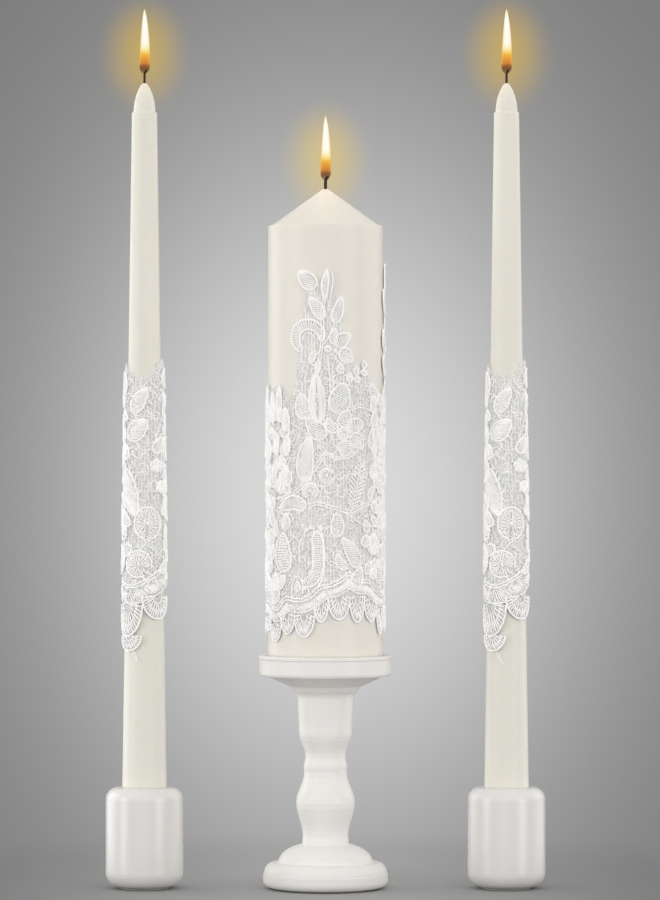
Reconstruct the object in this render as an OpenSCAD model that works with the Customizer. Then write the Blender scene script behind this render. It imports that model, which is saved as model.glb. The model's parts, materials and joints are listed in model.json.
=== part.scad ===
// Unity candle set: a lace-trimmed pillar candle on a turned wooden pedestal,
// with two lace-trimmed taper candles in round ceramic holders.
// Millimetres, +Z up. The origin is on the table, under the pillar's axis.
// The tapers stand to the left (-X) and the right (+X); the front is -Y.

/* [Arrangement] */
// Distance from the pillar's axis to each taper's axis
taper_spread = 90.5; // [62:1:200]
// Smoothness of round parts
round_fn = 96; // [48:8:160]

/* [Pillar candle] */
// Diameter of the pillar's wax
pillar_d = 57.2; // [50:0.1:76]
// Height of the wax from its foot to its shoulder
pillar_h = 217.4; // [180:0.1:300]
// Height of the cone above the shoulder
pillar_cone_h = 18.2; // [6:0.1:40]
// Width of the bevel around the foot of the cone
pillar_bevel = 1.8; // [0.5:0.1:4]
// Diameter of the wick
pillar_wick_d = 1.6; // [1:0.1:3]
// Height of the wick above the wax
pillar_wick_up = 6.4; // [4:0.1:12]
// Diameter of the metal wick tab under the wax
tab_d = 22; // [14:1:36]
// Thickness of the wick tab
tab_t = 0.6; // [0.3:0.1:1.5]
// Height of the crimped neck of the wick tab
tab_neck_h = 5; // [2:0.5:12]

/* [Pillar lace] */
// Height of the lace net's lower edge above the foot of the wax
pillar_net_low = 22; // [14:1:60]
// Height of the net
pillar_net_h = 114; // [60:1:140]
// Height of the scalloped border band
pillar_border_h = 26; // [12:1:40]
// How far the border hangs below the net
pillar_border_drop = 12; // [4:1:20]
// Height of the front spray above the net
front_spray_h = 58; // [20:1:70]
// Angle that the front spray spans round the wax
front_spray_angle = 72; // [30:1:120]
// Height of the side spray above the net
side_spray_h = 62; // [20:1:70]
// Angle that the side spray spans
side_spray_angle = 34; // [20:1:60]
// Turn of the side spray from the front
side_spray_turn = 92; // [60:1:140]

/* [Taper candles] */
// Diameter of the taper's straight foot, which the socket takes
taper_foot_d = 22.2; // [18:0.1:27]
// Diameter of the taper just below its pointed tip
taper_top_d = 12.6; // [9:0.1:18]
// Length of the whole wax
taper_l = 380; // [250:1:400]
// Height of the pointed tip
taper_tip_h = 15; // [8:0.5:25]
// Width of the small ledge at the foot of the tip
taper_ledge = 0.8; // [0.2:0.1:1.5]
// Diameter of the wick
taper_wick_d = 1.2; // [0.8:0.1:2]
// Height of the wick above the wax
taper_wick_up = 6.4; // [4:0.1:12]

/* [Taper lace] */
// Height of the net's lower edge above the holder's rim
taper_net_low = 84; // [30:1:120]
// Height of the net
taper_net_h = 122; // [60:1:180]
// Height of the scalloped border band
taper_border_h = 28; // [12:1:36]
// How far the border hangs below the net
taper_border_drop = 14; // [4:1:20]
// Angle that the spray spans round the wax
taper_spray_angle = 200; // [90:1:240]

/* [Flames] */
// Height of each flame
flame_h = 32.8; // [20:0.1:40]
// Widest diameter of each flame
flame_d = 5.4; // [5:0.1:10]
// Clear wick between the wax and the flame
flame_lift = 4; // [2:0.1:6]

/* [Pillar pedestal] */
// Height of the plate's rim above the table
pedestal_h = 116.5; // [100:0.5:200]
// Thickness of the plate's rim round the recess
plate_wall = 3.9; // [2.5:0.1:12]
// Thickness of the plate's upright edge
plate_edge = 8.5; // [6:0.5:14]
// Drop from the plate's lower corner to its flat underside
plate_slope = 7; // [4:0.5:12]
// Depth of the recess that the candle stands in
recess_depth = 3; // [2:0.5:5]
// Diameter of the base
base_d = 62.4; // [54:0.1:120]
// Thickness of the base's rim
rim_t = 12.4; // [8:0.1:18]
// Height of the dome above the rim
dome_h = 9.6; // [6:0.1:16]
// Diameter of the foot of the dome
dome_d = 47.2; // [36:0.1:52]
// Diameter of the top of the column
column_top_d = 27.8; // [22:0.1:40]
// Diameter of the neck in the middle of the column
neck_d = 20; // [18:0.1:30]
// Diameter of the small bead under the neck
bead_d = 21.8; // [18:0.1:32]
// Diameter of the swelling in the lower column
bulge_d = 29.4; // [24:0.1:44]
// Diameter of the waist above the dome
waist_d = 22.8; // [18:0.1:32]
// Diameter of the tenon at each end of the column
tenon_d = 14; // [10:0.5:16]
// Length of each tenon
tenon_l = 7; // [4:0.5:9]

/* [Screws] */
// Thread diameter of the two wood screws
screw_d = 4; // [3:0.1:5]
// Head diameter
screw_head_d = 8; // [6:0.1:10]
// Length from the top of the head to the point
screw_l = 38; // [25:1:42]

/* [Taper holders] */
// Thickness of the holder's wall round the socket
holder_wall = 8; // [7:0.1:16]
// Height of the holder above the table
holder_h = 50.5; // [42:0.5:90]
// Rounding of the holder's upper edge
holder_top_r = 6; // [2:0.1:8]
// Rounding of the holder's lower edge
holder_low_r = 7.4; // [2:0.1:10]
// Depth of the socket
socket_depth = 28; // [20:0.5:36]

/* [Felt] */
// Thickness of the felt under each piece
felt_t = 1.2; // [1:0.1:3]
// How far the felt stands out below the piece
felt_proud = 0.6; // [0.4:0.1:0.9]

/* [Fits] */
// Gap all round between a taper's foot and its socket
socket_gap = 0.3; // [0.2:0.05:1]
// Gap all round between the pillar and the plate's rim
recess_gap = 0.9; // [0.3:0.1:2]
// Gap under a candle that stands in its holder
stand_gap = 0.3; // [0.2:0.05:0.5]
// Gap all round a piece that is glued in
glue_gap = 0.1; // [0.05:0.05:0.3]
// Thickness of the lace net
net_t = 0.4; // [0.3:0.1:0.8]
// Thickness of the raised embroidery on the net
spray_t = 1; // [0.6:0.1:1.6]

/* [Hidden] */

// Heights of the pedestal, from the table up
rim_z = felt_proud + rim_t;
dome_z = rim_z + dome_h;
recess_z = pedestal_h - recess_depth;
under_z = pedestal_h - plate_edge - plate_slope;
column_h = under_z - dome_z;
base_r = base_d / 2;
pillar_r = pillar_d / 2;
recess_r = pillar_r + recess_gap;
plate_r = recess_r + plate_wall;
tenon_r = tenon_d / 2;
tenon_hole_r = tenon_r + glue_gap;
flare = 4.2;
flare_r = column_top_d / 2 + flare;
felt_margin = 6;

// The column's turned outline: [height up the column, radius] at each high and low of the curve
column_marks = [
    [0, waist_d / 2 + 0.2],
    [0.05 * column_h, waist_d / 2],
    [0.26 * column_h, bulge_d / 2],
    [0.452 * column_h, bead_d / 2 - 0.25],
    [0.488 * column_h, bead_d / 2],
    [0.552 * column_h, neck_d / 2],
    [0.71 * column_h, column_top_d / 2 - 0.6],
    [0.92 * column_h, column_top_d / 2],
];
flare_z = 0.92 * column_h;

// Screws
screw_r = screw_d / 2;
screw_head_r = screw_head_d / 2;
screw_hole_r = screw_r + glue_gap;
plate_screw_z = recess_z - 0.4;
base_screw_z = felt_t + 0.4;
thread_pitch = 1.8;
thread_core = 0.72;

// Candles
pillar_foot_z = recess_z + stand_gap;
pillar_shoulder_z = pillar_foot_z + pillar_h;
pillar_tip_z = pillar_shoulder_z + pillar_cone_h;
cone_tip_r = 1.3;
cone_edge = 0.8;
socket_z = holder_h - socket_depth;
socket_r = taper_foot_d / 2 + socket_gap;
taper_foot_z = socket_z + stand_gap;
taper_foot_r = taper_foot_d / 2;
taper_top_r = taper_top_d / 2;
taper_tip_z = taper_foot_z + taper_l;
taper_shoulder_z = taper_tip_z - taper_tip_h;
tip_fullness = 0.6;
holder_r = socket_r + holder_wall;
felt_r = holder_r - holder_low_r;
base_felt_r = base_r - felt_margin;

// Lace
lace_gap = 0.1;
on_net = 2 * lace_gap + net_t;
net_z = pillar_foot_z + pillar_net_low;
net_top_z = net_z + pillar_net_h;
border_z = net_z - pillar_border_drop;
border_top_z = border_z + pillar_border_h;
taper_net_z = holder_h + taper_net_low;
taper_border_z = taper_net_z - taper_border_drop;
front = -90;
front_spray_lean = -8;

// ---- outlines ----

// Points along an arc, from angle a to angle b
function arc(x, y, r, a, b, n = 8) =
    [for (i = [0:n]) let (t = a + (b - a) * i / n) [x + r * cos(t), y + r * sin(t)]];

// Points along a part of an ellipse
function oval(x, y, rx, ry, a, b, n = 12) =
    [for (i = [0:n]) let (t = a + (b - a) * i / n) [x + rx * cos(t), y + ry * sin(t)]];

// A smooth swing between two marks of a turned outline
function swing(p, q, n = 6) =
    [for (i = [1:n]) let (t = i / n, s = (1 - cos(180 * t)) / 2)
        [p[1] + (q[1] - p[1]) * s, p[0] + (q[0] - p[0]) * t]];

function swings(marks) =
    [for (k = [1:len(marks) - 1]) each swing(marks[k - 1], marks[k])];

// Radius of a taper's wax at height z
function taper_r(z) =
    z <= holder_h ? taper_foot_r
    : taper_foot_r + (taper_top_r - taper_foot_r) * (z - holder_h) / (taper_shoulder_z - holder_h);

module turned(points) {
    rotate_extrude($fn = round_fn) polygon(points);
}

// ---- shared shapes ----

// A wick: straight, then curled over at its top towards +X. The curl is a little thinner
// and starts inside the straight length.
module wick(d, up, buried, grow = 0) {
    curl_r = 4;
    curl_angle = 45;
    curl_d = 0.94 * d + 2 * grow;
    lap = 5;
    straight = up - curl_r * sin(curl_angle);
    translate([0, 0, -buried]) cylinder(d = d + 2 * grow, h = buried + straight, $fn = 24);
    translate([curl_r, 0, straight])
        rotate([90, 0, 0])
        rotate([0, 0, 180 - curl_angle])
        rotate_extrude(angle = curl_angle + lap, $fn = 64)
        translate([curl_r, 0]) circle(d = curl_d, $fn = 24);
}

// Width of a flame, as a share of its widest, at the share v of its height:
// round below, widest low down, then narrowing slowly to a round tip
function flame_share(v) =
    let (widest = 0.16, foot = v < widest ? sqrt(1 - pow(1 - v / widest, 2)) : 1)
    foot * (1 - 0.36 * (v - widest)) * pow(1 - pow(v, 5), 0.55);

// A candle flame, open below for the wick
module flame(wick_d, wick_up) {
    n = 28;
    difference() {
        rotate_extrude($fn = 48) polygon([
            [0, 0],
            for (i = [1:n - 1]) let (v = (1 - cos(180 * i / n)) / 2) [flame_d / 2 * flame_share(v), flame_h * v],
            [0, flame_h],
        ]);
        translate([0, 0, -flame_lift]) wick(wick_d, wick_up, 0, 0.15);
    }
}

// A countersunk wood screw with its head up at z = 0 and its point down
module wood_screw() {
    head_t = screw_head_r - screw_r;
    turns = floor((screw_l * 0.6) / thread_pitch);
    start = -screw_l + 5;
    core = screw_r * thread_core;
    difference() {
        rotate_extrude($fn = 48) polygon([
            [0, -screw_l],
            [core, start],
            for (k = [0:turns - 1]) each [
                [core, start + k * thread_pitch + 0.1],
                [screw_r, start + (k + 0.45) * thread_pitch],
                [core, start + (k + 0.8) * thread_pitch],
            ],
            [core, start + turns * thread_pitch],
            [screw_r, start + turns * thread_pitch + 0.6],
            [screw_r, -head_t - 0.3],
            [screw_head_r, -0.3],
            [screw_head_r, 0],
            [0, 0],
        ]);
        for (turn = [0, 90])
            rotate([0, 0, turn]) translate([-2, -0.45, -1.6]) cube([4, 0.9, 2]);
    }
}

// The hole for a wood screw, with its countersink
module screw_hole(depth) {
    head_t = screw_head_r - screw_r;
    sink_r = screw_head_r + glue_gap;
    translate([0, 0, -depth]) cylinder(r = screw_hole_r, h = depth + 1, $fn = 48);
    translate([0, 0, -head_t - 0.3])
        cylinder(r1 = screw_hole_r, r2 = sink_r, h = head_t, $fn = 48);
    translate([0, 0, -0.3]) cylinder(r = sink_r, h = 2, $fn = 48);
}

// A sleeve of lace with a wall of t round a candle whose radius runs from r1 to r2,
// cut to a sector of the given angle about the front
module lace_sleeve(r1, r2, h, t, gap, angle = 360, middle = front) {
    difference() {
        cylinder(r1 = r1 + gap + t, r2 = r2 + gap + t, h = h, $fn = round_fn);
        translate([0, 0, -1]) cylinder(
            r1 = r1 + gap - (r2 - r1) / h, r2 = r2 + gap + (r2 - r1) / h, h = h + 2, $fn = round_fn);
        if (angle < 360)
            rotate([0, 0, middle]) away(angle / 2, 2 * (r1 + gap + t), h);
    }
}

// What is cut away outside a half angle on both sides of +X
module away(half, reach, h) {
    translate([0, 0, -1]) linear_extrude(h + 2)
        polygon([[0, 0], for (i = [0:8]) let (a = half + (360 - 2 * half) * i / 8)
            [reach * cos(a), reach * sin(a)]]);
}

// A felt disc that stands in a shallow recess of the same radius
module felt(r) {
    cylinder(r = r, h = felt_t, $fn = 64);
}

// ---- pedestal ----

module holder_base() color("white") difference() {
    low_r = 3.6;
    edge_z = felt_proud + 6.6;
    shoulder_r = base_r - 5.4;
    turned(concat(
        [[0, felt_proud]],
        arc(base_r - low_r, felt_proud + low_r, low_r, -90, 0),
        [[base_r, edge_z]],
        oval(shoulder_r, edge_z + 0.3, base_r - 0.4 - shoulder_r, rim_z - edge_z - 0.3, 0, 90, 8),
        [[dome_d / 2 + 0.5, rim_z], [dome_d / 2, rim_z + 0.4]],
        oval(dome_d / 2 - 17.6, rim_z, 17.6, dome_h, 3, acos((waist_d / 2 + 0.2 - dome_d / 2 + 17.6) / 17.6)),
        [[waist_d / 2 + 0.2, dome_z], [0, dome_z]]
    ));
    translate([0, 0, dome_z - tenon_l - glue_gap]) cylinder(r = tenon_hole_r, h = tenon_l + 1, $fn = 64);
    translate([0, 0, base_screw_z]) mirror([0, 0, 1]) screw_hole(dome_z);
    translate([0, 0, -1]) cylinder(r = base_felt_r + glue_gap, h = 1 + felt_t, $fn = 64);
}

module holder_column() color("white") translate([0, 0, dome_z]) difference() {
    union() {
        turned(concat(
            [[0, 0], [waist_d / 2 + 0.2, 0]],
            swings(column_marks),
            arc(flare_r, flare_z, flare_r - column_top_d / 2, 180, 120, 6),
            [[flare_r, column_h], [0, column_h]]
        ));
        translate([0, 0, -tenon_l]) cylinder(r = tenon_r, h = column_h + 2 * tenon_l, $fn = 64);
    }
    translate([0, 0, plate_screw_z - dome_z - screw_l - 1])
        cylinder(r = screw_hole_r, h = screw_l + 2, $fn = 48);
    translate([0, 0, base_screw_z - dome_z - 1])
        cylinder(r = screw_hole_r, h = screw_l + 2, $fn = 48);
}

module holder_plate() color("white") difference() {
    lip = 1.6;
    corner_z = pedestal_h - plate_edge;
    turned(concat(
        [[0, under_z], [flare_r, under_z]],
        [[plate_r - 5, corner_z - 2.4]],
        arc(plate_r - 2.8, corner_z, 2.4, -50, 0, 5),
        [[plate_r - 0.4, pedestal_h - lip - 0.5]],
        [[plate_r, pedestal_h - lip]],
        arc(plate_r - 0.5, pedestal_h - 0.5, 0.5, 0, 90, 3),
        arc(recess_r + 0.5, pedestal_h - 0.5, 0.5, 90, 180, 3),
        [[recess_r, recess_z], [0, recess_z]]
    ));
    translate([0, 0, under_z - 1]) cylinder(r = tenon_hole_r, h = tenon_l + glue_gap + 1, $fn = 64);
    translate([0, 0, plate_screw_z]) screw_hole(plate_screw_z - under_z + 1);
}

module plate_screw() color("goldenrod") translate([0, 0, plate_screw_z]) wood_screw();

module base_screw() color("goldenrod") translate([0, 0, base_screw_z]) mirror([0, 0, 1]) wood_screw();

module base_felt_pad() color("ivory") felt(base_felt_r);

// ---- pillar candle ----

module pillar_wax() color("ivory") translate([0, 0, pillar_foot_z]) difference() {
    foot_r = 1;
    turned(concat(
        [[0, 0]],
        arc(pillar_r - foot_r, foot_r, foot_r, -90, 0, 4),
        [[pillar_r, pillar_h - cone_edge], [pillar_r - 0.4, pillar_h - 0.2]],
        [[pillar_r - pillar_bevel, pillar_h], [cone_tip_r, pillar_h + pillar_cone_h]],
        [[0, pillar_h + pillar_cone_h]]
    ));
    translate([0, 0, -1]) cylinder(
        d = pillar_wick_d + 2 * glue_gap, h = pillar_h + pillar_cone_h + 2, $fn = 24);
    translate([0, 0, -1]) cylinder(d = tab_d + 2 * glue_gap, h = 1 + tab_t + glue_gap, $fn = 64);
    translate([0, 0, -1]) cylinder(
        d = pillar_wick_d + 1.2 + 4 * glue_gap, h = 1 + tab_t + tab_neck_h + glue_gap, $fn = 32);
}

module pillar_wick() color("dimgray") translate([0, 0, pillar_tip_z])
    wick(pillar_wick_d, pillar_wick_up, pillar_h + pillar_cone_h - 0.1);

module pillar_wick_tab() color("silver") translate([0, 0, pillar_foot_z]) difference() {
    union() {
        cylinder(d = tab_d, h = tab_t, $fn = 64);
        cylinder(d = pillar_wick_d + 1.2 + 2 * glue_gap, h = tab_t + tab_neck_h, $fn = 32);
    }
    translate([0, 0, -1]) cylinder(d = pillar_wick_d + 2 * glue_gap, h = tab_neck_h + tab_t + 2, $fn = 24);
}

module pillar_lace_net() color("whitesmoke") translate([0, 0, net_z])
    lace_sleeve(pillar_r, pillar_r, pillar_net_h, net_t, lace_gap);

// The raised embroidery all round the net, and the two sprays that climb above it
module pillar_lace_sprays() color("white") {
    low = border_top_z + lace_gap;
    translate([0, 0, low]) lace_sleeve(pillar_r, pillar_r, net_top_z - low, spray_t, on_net);
    translate([0, 0, net_top_z + lace_gap]) {
        lace_sleeve(pillar_r, pillar_r, front_spray_h, on_net + spray_t - lace_gap, lace_gap,
            front_spray_angle, front + front_spray_lean);
        lace_sleeve(pillar_r, pillar_r, side_spray_h, on_net + spray_t - lace_gap, lace_gap,
            side_spray_angle, front + side_spray_turn);
    }
}

module pillar_lace_border() color("white") translate([0, 0, border_z])
    lace_sleeve(pillar_r, pillar_r, pillar_border_h, spray_t, on_net);

module pillar_flame() color("orange") translate([0, 0, pillar_tip_z + flame_lift])
    flame(pillar_wick_d, pillar_wick_up);

// ---- taper candles, as they stand about their own axis ----

module taper_holder() difference() {
    r = holder_r;
    mouth = 0.6;
    turned(concat(
        [[0, felt_proud]],
        arc(r - holder_low_r, felt_proud + holder_low_r, holder_low_r, -90, 0),
        arc(r - holder_top_r, holder_h - holder_top_r, holder_top_r, 0, 90),
        [[0, holder_h]]
    ));
    translate([0, 0, socket_z]) cylinder(r = socket_r, h = socket_depth + 1, $fn = round_fn);
    translate([0, 0, holder_h - mouth])
        cylinder(r1 = socket_r, r2 = socket_r + 2 * mouth, h = 2 * mouth, $fn = round_fn);
    translate([0, 0, -1]) cylinder(r = felt_r + glue_gap, h = 1 + felt_t, $fn = 64);
}

module taper_wax() translate([0, 0, taper_foot_z]) difference() {
    wick_hole_r = taper_wick_d / 2 + glue_gap;
    shoulder = taper_shoulder_z - taper_foot_z;
    tip_r = taper_top_r - taper_ledge;
    turned(concat(
        [[0, 0], [taper_foot_r - 0.6, 0], [taper_foot_r, 0.6]],
        [[taper_foot_r, holder_h - taper_foot_z]],
        [[taper_top_r, shoulder - 0.5], [taper_top_r - 0.3, shoulder]],
        [for (i = [0:12]) let (u = i / 12 * 0.95)
            [tip_r * pow(cos(90 * u), tip_fullness), shoulder + taper_tip_h * u]],
        [[0, taper_l]]
    ));
    translate([0, 0, -1]) cylinder(r = wick_hole_r, h = taper_l + 2, $fn = 24);
}

module taper_wick() translate([0, 0, taper_tip_z])
    wick(taper_wick_d, taper_wick_up, taper_l - 0.1);

// A sleeve round the taper between two heights
module taper_sleeve(z, h, t, gap, angle = 360) {
    translate([0, 0, z]) lace_sleeve(taper_r(z), taper_r(z + h), h, t, gap, angle);
}

module taper_lace_net() taper_sleeve(taper_net_z, taper_net_h, net_t, lace_gap);

module taper_lace_spray() {
    low = taper_border_z + taper_border_h + lace_gap;
    bare = 6;
    taper_sleeve(low, taper_net_z + taper_net_h - bare - low, spray_t, on_net, taper_spray_angle);
}

module taper_lace_border() taper_sleeve(taper_border_z, taper_border_h, spray_t, on_net);

module taper_flame() translate([0, 0, taper_tip_z + flame_lift]) flame(taper_wick_d, taper_wick_up);

module at_left() translate([-taper_spread, 0, 0]) children();
module at_right() translate([taper_spread, 0, 0]) children();

module left_taper_holder() color("white") at_left() taper_holder();
module left_holder_felt() color("ivory") at_left() felt(felt_r);
module left_taper_wax() color("ivory") at_left() taper_wax();
module left_taper_wick() color("dimgray") at_left() taper_wick();
module left_taper_lace_net() color("whitesmoke") at_left() taper_lace_net();
module left_taper_lace_spray() color("white") at_left() taper_lace_spray();
module left_taper_lace_border() color("white") at_left() taper_lace_border();
module left_taper_flame() color("orange") at_left() taper_flame();

module right_taper_holder() color("white") at_right() taper_holder();
module right_holder_felt() color("ivory") at_right() felt(felt_r);
module right_taper_wax() color("ivory") at_right() taper_wax();
module right_taper_wick() color("dimgray") at_right() taper_wick();
module right_taper_lace_net() color("whitesmoke") at_right() taper_lace_net();
module right_taper_lace_spray() color("white") at_right() taper_lace_spray();
module right_taper_lace_border() color("white") at_right() taper_lace_border();
module right_taper_flame() color("orange") at_right() taper_flame();

holder_base();
holder_column();
holder_plate();
plate_screw();
base_screw();
base_felt_pad();
pillar_wax();
pillar_wick();
pillar_wick_tab();
pillar_lace_net();
pillar_lace_sprays();
pillar_lace_border();
pillar_flame();
left_taper_holder();
left_holder_felt();
left_taper_wax();
left_taper_wick();
left_taper_lace_net();
left_taper_lace_spray();
left_taper_lace_border();
left_taper_flame();
right_taper_holder();
right_holder_felt();
right_taper_wax();
right_taper_wick();
right_taper_lace_net();
right_taper_lace_spray();
right_taper_lace_border();
right_taper_flame();
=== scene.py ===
import bpy
import json
from math import ceil, cos, hypot, pi, radians, sin, sqrt
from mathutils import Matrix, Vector
from random import Random

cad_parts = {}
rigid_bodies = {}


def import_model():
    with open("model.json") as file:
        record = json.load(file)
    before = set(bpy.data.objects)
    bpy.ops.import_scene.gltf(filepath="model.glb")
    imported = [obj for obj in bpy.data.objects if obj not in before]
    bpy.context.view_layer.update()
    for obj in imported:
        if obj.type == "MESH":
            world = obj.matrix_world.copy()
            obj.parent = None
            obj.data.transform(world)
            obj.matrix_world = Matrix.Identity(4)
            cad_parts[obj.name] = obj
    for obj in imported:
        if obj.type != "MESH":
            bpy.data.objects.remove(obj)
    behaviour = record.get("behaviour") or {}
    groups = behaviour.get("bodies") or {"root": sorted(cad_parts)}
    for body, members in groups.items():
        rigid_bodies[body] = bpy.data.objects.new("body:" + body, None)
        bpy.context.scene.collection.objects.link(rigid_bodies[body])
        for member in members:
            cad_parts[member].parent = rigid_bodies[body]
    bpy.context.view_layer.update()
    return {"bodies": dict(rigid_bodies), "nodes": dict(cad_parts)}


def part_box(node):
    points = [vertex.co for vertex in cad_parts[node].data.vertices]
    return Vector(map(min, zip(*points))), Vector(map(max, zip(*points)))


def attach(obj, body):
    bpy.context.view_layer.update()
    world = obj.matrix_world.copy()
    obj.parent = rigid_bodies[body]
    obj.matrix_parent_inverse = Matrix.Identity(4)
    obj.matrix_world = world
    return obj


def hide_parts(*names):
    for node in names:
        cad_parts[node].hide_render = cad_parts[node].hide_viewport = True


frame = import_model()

cadNodes = frame["nodes"]
mm = 0.001
world = bpy.context.scene.world or bpy.data.worlds.new("studioWorld")
bpy.context.scene.world = world
bpy.context.scene.view_settings.view_transform = "Standard"


viewSetup = {
    "away": 2.2,           # metres in front of the pillar
    "height": 0.219,
    "aside": 0.00225,
    "frameHeight": 0.45,   # what the picture's height takes in at the pillar
    "sensor": 36.0,
}


def addCamera(v):
    data = bpy.data.cameras.new("candleCamera")
    data.sensor_width = v["sensor"]
    data.lens = v["sensor"] * v["away"] / v["frameHeight"]
    data.clip_end = 30
    cam = bpy.data.objects.new("candleCamera", data)
    cam.location = (v["aside"], -v["away"], v["height"])
    cam.rotation_euler = (pi / 2, 0, 0)
    bpy.context.scene.collection.objects.link(cam)
    bpy.context.scene.camera = cam


addCamera(viewSetup)
print("camera placed")


def newNode(tree, kind, **settings):
    node = tree.nodes.new(kind)
    for name, value in settings.items():
        setattr(node, name, value)
    return node


def feed(tree, socket, value):
    # value: another socket, a constant or nothing
    if isinstance(value, bpy.types.NodeSocket):
        tree.links.new(value, socket)
    elif value is not None:
        socket.default_value = value


def calc(tree, operation, a, b=None, c=None, clamp=False):
    node = newNode(tree, "ShaderNodeMath", operation=operation, use_clamp=clamp)
    for slot, value in enumerate((a, b, c)):
        feed(tree, node.inputs[slot], value)
    return node.outputs[0]


def vecCalc(tree, operation, a, b=None, out="Vector"):
    node = newNode(tree, "ShaderNodeVectorMath", operation=operation)
    for slot, value in enumerate((a, b)):
        feed(tree, node.inputs[slot], value)
    return node.outputs[out]


def coords(tree, kind):
    return tree.nodes.new("ShaderNodeTexCoord").outputs[kind]


def axes(tree, vector):
    node = newNode(tree, "ShaderNodeSeparateXYZ")
    tree.links.new(vector, node.inputs[0])
    return [node.outputs[axis] for axis in "XYZ"]


def mixColours(tree, factor, a, b, blend="MIX"):
    node = newNode(tree, "ShaderNodeMix", data_type="RGBA", blend_type=blend)
    for slot, value in (("Factor", factor), (6, a), (7, b)):
        feed(tree, node.inputs[slot], value)
    return node.outputs[2]


def remap(tree, value, start, end, low=0.0, high=1.0, smooth=True):
    kind = "SMOOTHSTEP" if smooth else "LINEAR"
    node = newNode(tree, "ShaderNodeMapRange", interpolation_type=kind)
    for slot, number in (("Value", value), ("From Min", start), ("From Max", end), ("To Min", low),
                         ("To Max", high)):
        feed(tree, node.inputs[slot], number)
    return node.outputs["Result"]


def ramp(tree, value, stops):
    # stops: [place, colour or grey]
    node = newNode(tree, "ShaderNodeValToRGB")
    while len(node.color_ramp.elements) < len(stops):
        node.color_ramp.elements.new(0.5)
    for element, (place, colour) in zip(node.color_ramp.elements, stops):
        element.position = place
        if isinstance(colour, (int, float)):
            colour = (colour, colour, colour)
        element.color = (*colour, 1)
    tree.links.new(value, node.inputs["Fac"])
    return node.outputs["Color"]


def srgb(r, g, b):
    def one(v):
        v = v / 255
        return v / 12.92 if v <= 0.04045 else ((v + 0.055) / 1.055) ** 2.4
    return (one(r), one(g), one(b))


def newGroup(name, inputs, outputs):
    # inputs: {name: value}, outputs: {name: socket type}
    tree = bpy.data.node_groups.new(name, "ShaderNodeTree")
    for label, value in inputs.items():
        kind = "NodeSocketColor" if isinstance(value, tuple) else "NodeSocketFloat"
        socket = tree.interface.new_socket(label, in_out="INPUT", socket_type=kind)
        socket.default_value = (*value, 1) if isinstance(value, tuple) else value
    for label, kind in outputs.items():
        tree.interface.new_socket(label, in_out="OUTPUT", socket_type=kind)
    return tree, tree.nodes.new("NodeGroupInput"), tree.nodes.new("NodeGroupOutput")


def noise(tree, scale, detail=3, stretch=None):
    node = newNode(tree, "ShaderNodeTexNoise")
    place = coords(tree, "Object")
    if stretch:
        place = vecCalc(tree, "MULTIPLY", place, stretch)
    for slot, value in (("Detail", detail), ("Scale", scale), ("Vector", place)):
        feed(tree, node.inputs[slot], value)
    return node.outputs["Fac"]


def makeMottle():
    # two scales of soft variation, as a colour and a roughness
    tree, gin, gout = newGroup(
        "mottle",
        {"Base": (0.8, 0.8, 0.8), "Tint": (0.7, 0.7, 0.7), "Amount": 0.3, "Scale": 60.0,
         "Rough": 0.4, "RoughSpread": 0.1},
        {"Color": "NodeSocketColor", "Roughness": "NodeSocketFloat", "Height": "NodeSocketFloat"})
    big = noise(tree, gin.outputs["Scale"], 2, stretch=(1, 1, 0.35))
    fine = noise(tree, calc(tree, "MULTIPLY", gin.outputs["Scale"], 9.0), 4)
    both = calc(tree, "ADD", calc(tree, "MULTIPLY", big, 0.7), calc(tree, "MULTIPLY", fine, 0.3))
    share = calc(tree, "MULTIPLY", remap(tree, both, 0.35, 0.65, smooth=False), gin.outputs["Amount"])
    tree.links.new(mixColours(tree, share, gin.outputs["Base"], gin.outputs["Tint"]), gout.inputs["Color"])
    rough = calc(tree, "MULTIPLY_ADD", calc(tree, "SUBTRACT", fine, 0.5), gin.outputs["RoughSpread"],
                 gin.outputs["Rough"])
    tree.links.new(rough, gout.inputs["Roughness"])
    tree.links.new(both, gout.inputs["Height"])
    return tree


def makeYarn():
    # the twist of a cord, from its own run (mm) and way round
    tree, gin, gout = newGroup(
        "yarnTwist", {"Pitch": 1.1, "Plies": 2.0},
        {"Height": "NodeSocketFloat", "Shade": "NodeSocketFloat"})
    along, around, _ = axes(tree, coords(tree, "UV"))
    turns = calc(tree, "DIVIDE", along, gin.outputs["Pitch"])
    phase = calc(tree, "ADD", turns, calc(tree, "MULTIPLY", around, gin.outputs["Plies"]))
    wave = calc(tree, "ABSOLUTE", calc(tree, "SINE", calc(tree, "MULTIPLY", phase, pi)))
    fuzz = noise(tree, 2600.0, 2)
    height = calc(tree, "ADD", calc(tree, "MULTIPLY", wave, 0.8), calc(tree, "MULTIPLY", fuzz, 0.3))
    tree.links.new(height, gout.inputs["Height"])
    tree.links.new(calc(tree, "MULTIPLY_ADD", wave, 0.2, 0.8), gout.inputs["Shade"])
    return tree


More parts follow.
